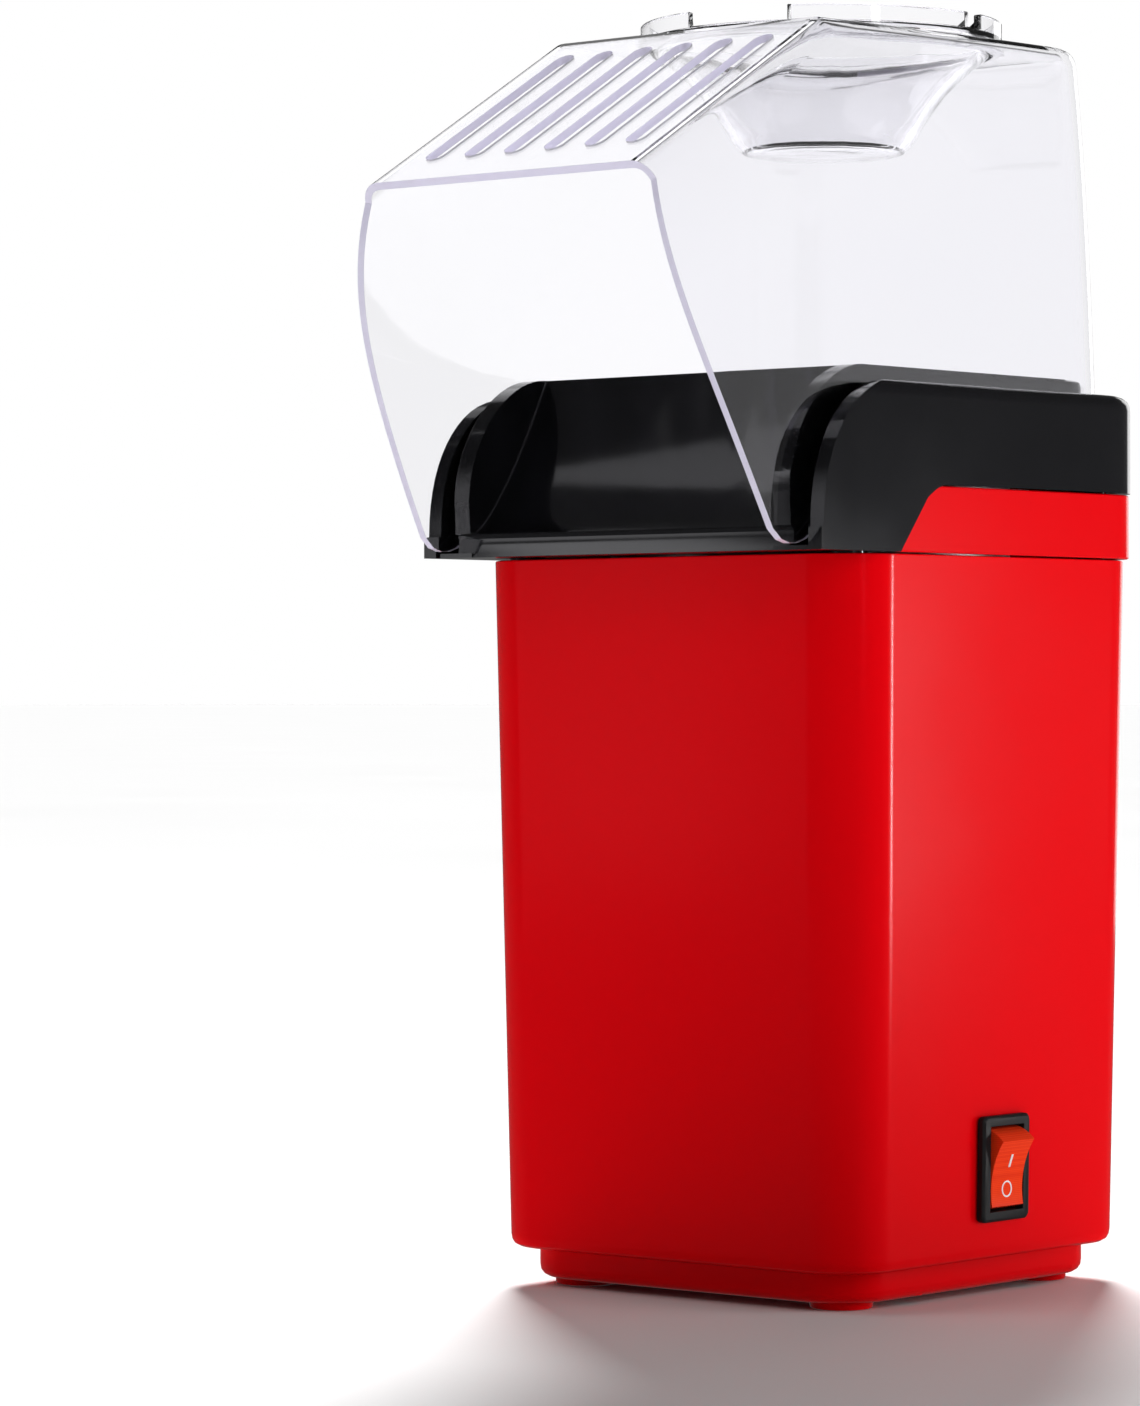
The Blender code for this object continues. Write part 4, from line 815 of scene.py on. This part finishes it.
    def funnel(self) -> Object:
        """The space inside the chute's walls: rounded and wide at the rim, round at the throat."""
        segments = 18
        half, front, back, corner = self.chute_half - 2.4, -36.2, self.chute_back - 2.4, 12.0
        space = tower(
            "funnel", half, front, back, corner, [(0, self.chute_top - 3), (0, self.chute_top + 2)],
            segments,
        )
        edit(space, "DESELECT")
        leave()
        bottom = min(space.data.polygons, key=lambda p: p.center.z)
        bottom.select = True
        bpy.ops.object.mode_set(mode="EDIT")
        lift(self.deck[1] - self.chute_top + 3.6)
        leave()
        ring = [v for v in space.data.vertices if v.select]
        for v in ring:
            angle = math.atan2(v.co.y - 4 * MM, v.co.x)
            v.co.x, v.co.y = self.throat * MM * math.cos(angle), self.throat * MM * math.sin(angle)
        bpy.ops.object.mode_set(mode="EDIT")
        lift(-14)
        leave()
        return tidy(space)

    def build(self, machine: Machine, housing: Housing) -> None:
        """Builds the black mouldings."""
        machine.place(self.collar(housing), "machine", BLACK, "black_plastic", ["collar"])
        machine.place(self.chute(), "machine", BLACK, "black_plastic", ["chute"])


@dataclass
class Hood:
    """The clear cover: walls that lean out to the mouth, a slotted sloping roof and a flat top."""

    roof_front: Point = (-98.6, 225.7)
    roof_back: float = -41.0
    top: float = 258.9
    bottom: float = 176.0
    tip: float = 155.6
    back: float = 48.6
    corner: float = 16.0
    draft: float = 0.038
    fillet: float = 4.0
    wall: float = 1.6
    slots: int = 6
    pitch: float = 10.45
    slot_width: float = 4.6
    slot_from: Point = (-88.4, 231.9)
    slot_to: Point = (-49.1, 254.3)
    hole: float = 35.6
    cup_y: float = 4.0
    half_wide: float = 47.2
    half_drawn: float = 10.6
    draw_reach: float = 33.0
    mouth_bow: float = 0.055
    mouth_power: float = 1.46
    mouth_top: float = 226.0
    hem_dip: float = 9.0
    edge_round: float = 0.35
    rows: int = 22
    arc: int = 8
    across: int = 3

    def half(self, y: float, z: float) -> float:
        """Half the hood's width: the side wall draws in towards the roof's edge."""
        below = (y - self.roof_front[0]) * ROOF_DOWN.y + (z - self.roof_front[1]) * ROOF_DOWN.z
        return self.half_wide - self.half_drawn * math.exp(-max(below, 0.0) / self.draw_reach)

    def mouth(self, z: float) -> float:
        """Where the mouth's edge stands in y at height z."""
        return self.roof_front[0] + self.mouth_bow * max(0.0, self.mouth_top - z) ** self.mouth_power

    def column(
        self, wall: Callable[[float], Vector], edge: Vector, inward: Vector, middle: Vector
    ) -> list[Vector]:
        """One line of points: up the wall, over the rounded edge and in to the middle."""
        points = [wall(i / (self.rows - 1)) for i in range(self.rows)]
        foot, above = points[-1], edge + inward * self.fillet
        for i in range(1, self.arc + 1):
            t = i / self.arc
            points.append(foot * (1 - t) ** 2 + edge * 2 * t * (1 - t) + above * t**2)
        points += [above.lerp(middle, i / self.across) for i in range(1, self.across + 1)]
        return points

    def front_column(self, w: float) -> list[Vector]:
        """A column between the mouth's edge (w = 0) and the roof's back edge (w = 1)."""
        slope = (self.top - self.roof_front[1]) / (self.roof_back - self.roof_front[0])
        y_top = self.roof_front[0] + (self.roof_back - self.roof_front[0]) * w
        z_top = self.roof_front[1] + slope * (y_top - self.roof_front[0])
        down = ROOF_DOWN if w < 1 else (ROOF_DOWN + Vector((0, 0, -1))).normalized()
        low = self.tip + (self.bottom - self.tip) * w
        dip = self.hem_dip * math.sin(math.pi * w**0.8)

        def wall(v: float) -> Vector:
            """The point at height v, from the hem (0) to the fillet (1)."""
            z = low + (z_top + down.z * self.fillet - low) * v
            mouth_z = self.tip + (self.roof_front[1] - self.tip + ROOF_DOWN.z * self.fillet) * v
            y = self.mouth(mouth_z) * (1 - w) + self.roof_back * w
            y += (y_top + down.y * self.fillet - y) * v**3
            z -= dip * (1 - v) ** 4
            return Vector((self.half(y, z), y, z))

        edge = Vector((self.half(y_top, z_top), y_top, z_top))
        return self.column(wall, edge, Vector((-1, 0, 0)), Vector((0, y_top, z_top)))

    def back_column(self, kind: str, w: float) -> list[Vector]:
        """A column on the straight side, round the back corner or across the back."""
        angle = {"side": 0.0, "corner": math.radians(90 * w), "back": math.pi / 2}[kind]

        def plan(z: float) -> Vector:
            """The point of the outline at height z."""
            y_back = self.back - self.draft * (z - self.bottom)
            y_end = y_back - self.corner
            if kind == "side":
                y = self.roof_back + (y_end - self.roof_back) * w
                return Vector((self.half(y, z), y, z))
            x_end = self.half(y_end, z) - self.corner
            if kind == "corner":
                across, along = self.corner * math.cos(angle), self.corner * math.sin(angle)
                return Vector((x_end + across, y_end + along, z))
            return Vector((x_end * (1 - w), y_back, z))

        rise = self.top - self.fillet - self.bottom
        edge = plan(self.top)
        inward = -Vector((math.cos(angle), math.sin(angle), 0))
        middle = Vector((0, edge.y if kind == "side" else edge.y - self.fillet, self.top))
        if kind == "corner":
            side_end = self.back - self.draft * (self.top - self.bottom) - self.corner
            back_end = self.back - self.draft * (self.top - self.bottom) - self.fillet
            middle = Vector((0, side_end + (back_end - side_end) * w, self.top))
        return self.column(lambda v: plan(self.bottom + rise * v), edge, inward, middle)

    def skin(self) -> Object:
        """The hood's wall: a grid whose columns are stood up one by one, mirrored and thickened."""
        columns = [self.front_column(k / 12) for k in range(13)]
        columns += [self.back_column("side", k / 8) for k in range(1, 9)]
        columns += [self.back_column("corner", k / 12) for k in range(1, 13)]
        columns += [self.back_column("back", k / 3) for k in range(1, 4)]
        wide, tall = len(columns), len(columns[0])
        begin()
        bpy.ops.mesh.primitive_grid_add(x_subdivisions=wide - 1, y_subdivisions=tall - 1, size=1.0)
        skin = settle("hood_skin")
        for i, vertex in enumerate(skin.data.vertices):
            vertex.co = columns[i % wide][i // wide] * MM
        mirror = skin.modifiers.new("both_sides", "MIRROR")
        mirror.merge_threshold = 1e-5
        mirror.use_clip = True
        only(skin)
        bpy.ops.object.modifier_apply(modifier=mirror.name)
        tidy(skin)
        upward = sum(p.normal.z * p.area for p in skin.data.polygons)
        if upward < 0:
            edit(skin)
            bpy.ops.mesh.flip_normals()
            leave()
        skin.data.materials.append(CLEAR.material())
        skin.data.materials.append(EDGE_TINT_AND_SHEEN.material())
        wall = skin.modifiers.new("wall", "SOLIDIFY")
        wall.thickness, wall.offset, wall.use_even_offset = self.wall * MM, -1.0, True
        # The wall's cut rim takes the edge finish: lavender tint plus a painted sheen along the edge.
        wall.material_offset_rim = 1
        bpy.ops.object.modifier_apply(modifier=wall.name)
        return skin

    def slot(self, x: float) -> Object:
        """A cutter for one slot: a long block across the roof with round ends."""
        start, end = Vector((x, *self.slot_from)), Vector((x, *self.slot_to))
        along, r = end - start, self.slot_width / 2
        reach = along.length / 2
        loop = [
            (
                r * math.cos(math.radians(first + 15 * i)),
                sign * reach + r * math.sin(math.radians(first + 15 * i)),
            )
            for sign, first in ((1, 0), (-1, 180))
            for i in range(13)
        ]
        slot = profile("slot", loop, (-5, 5), upright=False)
        lean = Matrix.Rotation(math.atan2(along.z, along.y), 4, "X")
        slot.data.transform(Matrix.Translation((start + end) / 2 * MM) @ lean)
        slot.data.materials.append(CLEAR.material())
        slot.data.materials.append(EDGE_TINT_AND_SHEEN.material())
        # Every face of the slot cutter takes the edge finish, so the slot walls get its lavender tint plus
        # a painted sheen.
        for face in slot.data.polygons:
            face.material_index = 1
        return slot

    def build(self, machine: Machine) -> None:
        """Builds the hood."""
        hood = self.skin()
        for i in range(self.slots):
            cut(hood, self.slot((i - (self.slots - 1) / 2) * self.pitch))
        cut(hood, rod("hole", self.hole, (self.top - 6, self.top + 4), (0.0, self.cup_y), 96))
        soften(hood, self.edge_round, 3, 55)
        machine.place(hood, "cover", CLEAR, "clear_plastic", ["clear_cover"], 24)


@dataclass
class Cup:
    """The measuring cup in the hood's hole, with its notched rim."""

    y: float = 4.0
    seat: float = 259.2
    top: float = 263.9
    rim: float = 38.0
    turn: float = 9.5

    def build(self, machine: Machine) -> None:
        """Builds the cup."""
        z = self.seat - 0.3
        inner = [
            (0, -20.8), (8, -20.8), (14.5, -20.8), (15.9, -20.4), (17.2, -19.0), (19.5, -15.6),
            (21.6, -12.1), (24.0, -9.0),
        ]
        inner += [
            (27.0, -5.9), (30.0, -3.2), (32.0, -1.3), (33.0, 0.2), (33.3, 1.0), (33.6, 1.6), (34.2, 1.9),
            (36.2, 1.9),
        ]
        outer = [
            (36.2, 4.8), (36.4, 5.0), (self.rim - 0.2, 5.0), (self.rim, 4.8), (self.rim, 0.6),
            (self.rim - 0.3, 0.3), (35.2, 0.3),
        ]
        outer += [
            (35.1, -0.6), (34.6, -1.9), (33.2, -3.1), (31.4, -4.4), (28.4, -7.1), (25.3, -10.2),
            (22.9, -13.4), (20.9, -16.6),
        ]
        outer += [(19.2, -19.4), (18.2, -20.8), (16.8, -22.0), (15.0, -22.4), (8, -22.4), (0, -22.4)]
        points = [(r, z + h) for r, h in inner + outer]
        cup = lathe("cup_skin", points, (0.0, self.y), 96)
        for middle, width in ((0.0, 32.0), (85.0, 7.0), (-85.0, 7.0)):
            spread = 42.0 * math.sin(math.radians(width / 2))
            notch = block("notch", (-spread, -48, self.seat + 1.6), (spread, -34, self.top + 1))
            turn = Matrix.Rotation(math.radians(middle + self.turn), 4, "Z")
            notch.data.transform(Matrix.Translation((0, self.y * MM, 0)) @ turn)
            cut(cup, notch)
        soften(cup, 0.2, 2, 60)
        machine.place(cup, "cup", CUP_CLEAR, "clear_plastic", ["measuring_cup"], 26)


@dataclass
class Switch:
    """The rocker switch on the side: its rocker and the two marks on it."""

    proud: float = 2.0
    axis: float = 3.2
    rest: float = 11.0
    radius: float = 8.4
    half: float = 5.4
    valley: float = 3.5
    end_from: float = 55.0
    end_turn: float = 60.0
    heel: Point = (-5.2, 4.0)
    pin_radius: float = 1.1
    pin_half: float = 6.1
    bar_z: float = 2.3
    ring_z: float = -3.6

    def pivot(self, housing: Housing) -> Matrix:
        """Where the rocker's own axes stand: x out of the wall and z up its face."""
        lean = math.atan2(housing.half_top - housing.half_bottom, housing.top - housing.bottom)
        seat = Matrix.Translation((housing.half(housing.switch_z) * MM, 0, housing.switch_z * MM))
        turn = Matrix.Rotation(lean, 4, "Y") @ Matrix.Translation(((self.proud - self.axis) * MM, 0, 0))
        return seat @ turn @ Matrix.Rotation(math.radians(self.rest), 4, "Y")

    def face(self, z: float) -> float:
        """How far the hollowed face stands out at height z."""
        start = math.radians(self.end_from)
        tip = self.radius * math.cos(start), self.radius * math.sin(start)
        sag = tip[0] - self.valley
        curve = (tip[1] ** 2 + sag**2) / (2 * sag)
        return self.valley + curve - math.sqrt(curve**2 - z**2)

    def rocker(self) -> Object:
        """The rocker: round ends about its axis, a hollowed face and two pins."""
        ends = [math.radians(self.end_from + self.end_turn * i / 12) for i in range(13)]
        upper = [(self.radius * math.cos(a), self.radius * math.sin(a)) for a in ends]
        lower = [(x, -z) for x, z in reversed(upper)]
        tip = upper[0][1]
        hollow = [(self.face(z), z) for z in (-tip + 2 * tip * i / 16 for i in range(1, 16))]
        points = [*upper, self.heel, (self.heel[0], -self.heel[1]), *lower, *hollow]
        rocker = profile("rocker_skin", points, (-self.half, self.half))
        rocker.data.transform(Matrix(((0, 1, 0, 0), (-1, 0, 0, 0), (0, 0, 1, 0), (0, 0, 0, 1))))
        soften(rocker, 0.35, 3, 40)
        pin = rod("pin", self.pin_radius, (-self.pin_half, self.pin_half), sides=24)
        pin.data.transform(Matrix.Rotation(math.pi / 2, 4, "X"))
        return join(rocker, pin)

    def bar(self) -> Object:
        """The bar that marks on."""
        bar = block("mark_bar", (-0.08, -0.34, -1.4), (0.10, 0.34, 1.4))
        return soften(bar, 0.07, 2)

    def ring(self) -> Object:
        """The ring that marks off."""
        begin()
        bpy.ops.mesh.primitive_torus_add(
            major_radius=1.55 * MM, minor_radius=0.20 * MM, major_segments=64, minor_segments=12
        )
        ring = settle("mark_ring")
        ring.data.transform(Matrix.Rotation(math.pi / 2, 4, "Y") @ Matrix.Diagonal((1.0, 1.0, 0.5, 1.0)))
        return ring

    def build(self, machine: Machine, housing: Housing) -> None:
        """Builds the switch."""
        machine.smooth_copy("switch_body", "machine", BEZEL, "black_plastic", 0.12)
        pivot = self.pivot(housing)
        rocker = self.rocker()
        rocker.data.transform(pivot)
        machine.place(rocker, "rocker", ROCKER, "rocker_red", ["switch_rocker"])
        for mark, z in ((self.bar(), self.bar_z), (self.ring(), self.ring_z)):
            slope = math.atan2(self.face(z + 0.1) - self.face(z - 0.1), 0.2)
            seat = Matrix.Translation(
                ((self.face(z) + 0.02) * MM, 0, z * MM)
            ) @ Matrix.Rotation(slope, 4, "Y")
            mark.data.transform(pivot @ seat)
            machine.place(mark, "rocker", MARK, "rocker_red", angle=40)
        machine.smooth_copy("switch_lamp", "machine", LAMP, "lamp_glass")
        for n in (1, 2, 3):
            machine.smooth_copy(f"switch_terminal_{n}", "machine", BRASS, "brass")


@dataclass
class Works:
    """What is inside: the chamber, the heater, the fan and its motor, the screws and the leads."""

    def build(self, machine: Machine) -> None:
        """Stands a finished copy in for each inner solid."""
        plain = [
            ("popping_chamber", ALUMINIUM, "aluminium"),
            ("thermostat", ALUMINIUM, "aluminium"),
            ("heater_sleeve", SHEET, "sheet_steel"),
            ("motor_can", SHEET, "sheet_steel"),
            ("fan_housing", DUCT, "duct_plastic"),
            ("motor_end_cap", DUCT, "duct_plastic"),
            ("mica_plate_wide", MICA, "mica"),
            ("mica_plate_cross", MICA, "mica"),
            ("heating_coil", WIRE, "nichrome"),
            ("dropper_coil", WIRE, "nichrome"),
            ("thermal_fuse", BRASS, "brass"),
            ("rectifier_board", BOARD, "board"),
            ("cord_bushing", RUBBER, "rubber"),
            ("lead_neutral", LEAD_WHITE, "lead_white"),
            ("lead_switched", LEAD_RED, "lead_red"),
            ("lead_motor", LEAD_RED, "lead_red"),
            ("lead_live", LEAD_BLACK, "lead_black"),
        ]
        plain += [(f"diode_{n}", DIODE, "diode_black") for n in range(1, 5)]
        plain += [
            (
                f"{kind}_screw_{n}", SCREW, "screw_steel"
            ) for kind in ("base", "chute", "duct") for n in range(1, 5)
        ]
        plain += [(f"chamber_screw_{n}", SCREW, "screw_steel") for n in range(1, 4)]
        plain += [(f"motor_screw_{n}", SCREW, "screw_steel") for n in range(1, 3)]
        for node, finish, slot in plain:
            machine.smooth_copy(node, "machine", finish, slot)
        machine.smooth_copy("fan_impeller", "fan", FAN, "fan_plastic")
        machine.smooth_copy("motor_shaft", "fan", SHEET, "sheet_steel")


# ---------------------------------------------------------------- studio


@dataclass
class Softbox:
    """A rectangular studio light that faces a point on the machine."""

    name: str
    place: Triple
    size: Point
    radiance: float
    mirrored: bool = True
    through: bool = False
    target: Triple = (0.0, 0.0, 0.13)

    def build(self) -> None:
        """Adds the light."""
        data = bpy.data.lights.new(self.name, "AREA")
        data.shape, data.size, data.size_y = "RECTANGLE", self.size[0], self.size[1]
        data.energy = self.radiance * math.pi * self.size[0] * self.size[1]
        lamp = bpy.data.objects.new(self.name, data)
        lamp.visible_glossy = self.mirrored
        lamp.visible_transmission = self.through
        lamp.location = self.place
        lamp.rotation_euler = (Vector(self.target) - Vector(self.place)).to_track_quat("-Z", "Y").to_euler()
        bpy.context.scene.collection.objects.link(lamp)


@dataclass
class Studio:
    """Camera, pale floor, white surroundings and soft lights."""

    axis_y: float
    lens: float = 131.8
    azimuth: float = 40.443
    pitch: float = 0.16
    roll: float = -0.111
    place: Triple = (663.61, -856.50, 124.58)
    horizon: float = 0.13
    zenith: float = 0.06
    sky_top: float = 0.6
    card_low: Point = (0.25, 0.50)
    card_side: Point = (0.05, 0.30)
    card_fall: float = -0.75
    backlight: float = 6.2
    backlight_elevation: float = 42.0
    backlight_spread: float = 18.0
    floor_size: float = 60.0
    bounces: int = 20
    mirror_bounces: int = 12

    def camera(self) -> None:
        """Adds the camera and makes it the scene's."""
        az, down, roll = (math.radians(a) for a in (self.azimuth, self.pitch, self.roll))
        ahead = Vector((-math.sin(az) * math.cos(down), math.cos(az) * math.cos(down), -math.sin(down)))
        level = Vector((math.cos(az), math.sin(az), 0.0))
        up = level.cross(ahead)
        right = level * math.cos(roll) + up * math.sin(roll)
        up = right.cross(ahead)
        data = bpy.data.cameras.new("camera")
        data.lens, data.sensor_width = self.lens, 36.0
        data.clip_start = 0.01
        camera = bpy.data.objects.new("camera", data)
        turn = Matrix((right, up, -ahead)).transposed().to_4x4()
        spot = Vector(self.place) * MM + Vector((0, self.axis_y, 0))
        camera.matrix_world = Matrix.Translation(spot) @ turn
        bpy.context.scene.collection.objects.link(camera)
        bpy.context.scene.camera = camera

    def world(self) -> None:
        """White surroundings behind and through the machine, dim ones as a light."""
        world = bpy.data.worlds.new("studio")
        world.use_nodes = True
        bpy.context.scene.world = world
        tree = world.node_tree

        def ramp(value: Socket, span: Point, to: Point = (0.0, 1.0)) -> Socket:
            """Runs from to[0] to to[1] as value goes over span."""
            ends = {"From Min": span[0], "From Max": span[1], "To Min": to[0], "To Max": to[1]}
            return wire(tree, "MapRange", "Result", {"Value": value, **ends})

        camera_ray = wire(tree, "LightPath", "Is Camera Ray", {})
        bent_ray = wire(tree, "LightPath", "Is Transmission Ray", {})
        direction = wire(tree, "TexCoord", "Generated", {})
        height = wire(tree, "SeparateXYZ", "Z", {"Vector": direction})
        az = math.radians(self.azimuth)
        card = {0: direction, 1: (-math.sin(az), math.cos(az), self.card_fall)}
        away = wire(tree, "VectorMath", "Value", card, operation="DOT_PRODUCT")
        sides = {0: ramp(height, self.card_low, (1.0, 0.0)), 1: ramp(away, self.card_side)}
        white = wire(tree, "Math", "Value", sides, operation="MAXIMUM")
        through = wire(tree, "Math", "Value", {0: bent_ray, 1: white}, operation="MULTIPLY")
        seen = wire(tree, "Math", "Value", {0: camera_ray, 1: through}, operation="MAXIMUM")
        dim = ramp(height, (0.0, self.sky_top), (self.horizon, self.zenith))
        level = wire(tree, "Mix", "Result", {"Factor": seen, "A": dim, "B": 1.0})
        white_light = {"Color": (1.0, 1.0, 1.0, 1.0), "Strength": level}
        feed(tree, tree.nodes["Background"], white_light)

    def floor(self) -> None:
        """A large pale worktop."""
        begin()
        bpy.ops.mesh.primitive_plane_add(size=self.floor_size, location=(0.0, 0.0, 0.0))
        floor = settle("floor")
        edit(floor)
        bpy.ops.mesh.subdivide(number_cuts=4)
        leave()
        floor.data.materials.append(FLOOR.material())
        floor.visible_glossy = False

    def sun(self) -> None:
        """The broad light from behind that whitens the floor and throws the shadow forwards."""
        data = bpy.data.lights.new("backlight", "SUN")
        data.energy = self.backlight
        data.angle = math.radians(self.backlight_spread)
        lamp = bpy.data.objects.new("backlight", data)
        lamp.visible_glossy = lamp.visible_transmission = False
        az, up = math.radians(self.azimuth), math.radians(self.backlight_elevation)
        towards = Vector((math.sin(az) * math.cos(up), -math.cos(az) * math.cos(up), -math.sin(up)))
        lamp.rotation_euler = towards.to_track_quat("-Z", "Y").to_euler()
        bpy.context.scene.collection.objects.link(lamp)

    def build(self) -> None:
        """Sets up the studio."""
        self.camera()
        self.world()
        self.floor()
        self.sun()
        boxes = [
            Softbox("key_right", (1.35, 0.15, 0.72), (0.9, 0.9), 2.0, mirrored=False),
            Softbox("front_top", (-0.45, -0.9, 1.15), (0.8, 0.6), 1.4, mirrored=False),
            Softbox("edge_strip", (0.86, 0.87, 0.085), (0.03, 0.17), 210.0),
            Softbox("side_card", (1.15, -0.35, 0.50), (0.12, 0.8), 6.0),
            Softbox("left_strip", (-0.85, -1.03, 0.46), (0.12, 0.40), 2.2),
            Softbox("left_low", (-0.85, -1.03, 0.11), (0.16, 0.22), 1.5),
            Softbox("scoop_card", (-0.5, -0.48, 1.05), (0.7, 0.22), 0.8, through=True),
            Softbox("roof_card", (-0.85, 0.56, 1.02), (0.5, 0.35), 0.6, through=True),
            Softbox("rear_rim", (-0.25, 1.3, 0.35), (0.5, 0.7), 1.8),
        ]
        for box in boxes:
            box.build()
        scene = bpy.context.scene
        scene.view_settings.view_transform = "Standard"
        scene.cycles.glossy_bounces = self.mirror_bounces
        scene.cycles.transmission_bounces = self.bounces
        scene.cycles.max_bounces = self.bounces


def main() -> None:
    """Builds the studio and every sub-assembly in order."""
    logging.basicConfig(level=logging.INFO, format="%(message)s")
    machine = Machine.load()
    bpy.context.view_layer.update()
    Studio(machine.axis_y).build()
    housing = Housing()
    housing.build(machine)
    Crown().build(machine, housing)
    Hood().build(machine)
    Cup().build(machine)
    Switch().build(machine, housing)
    Works().build(machine)


if __name__ == "__main__":
    main()
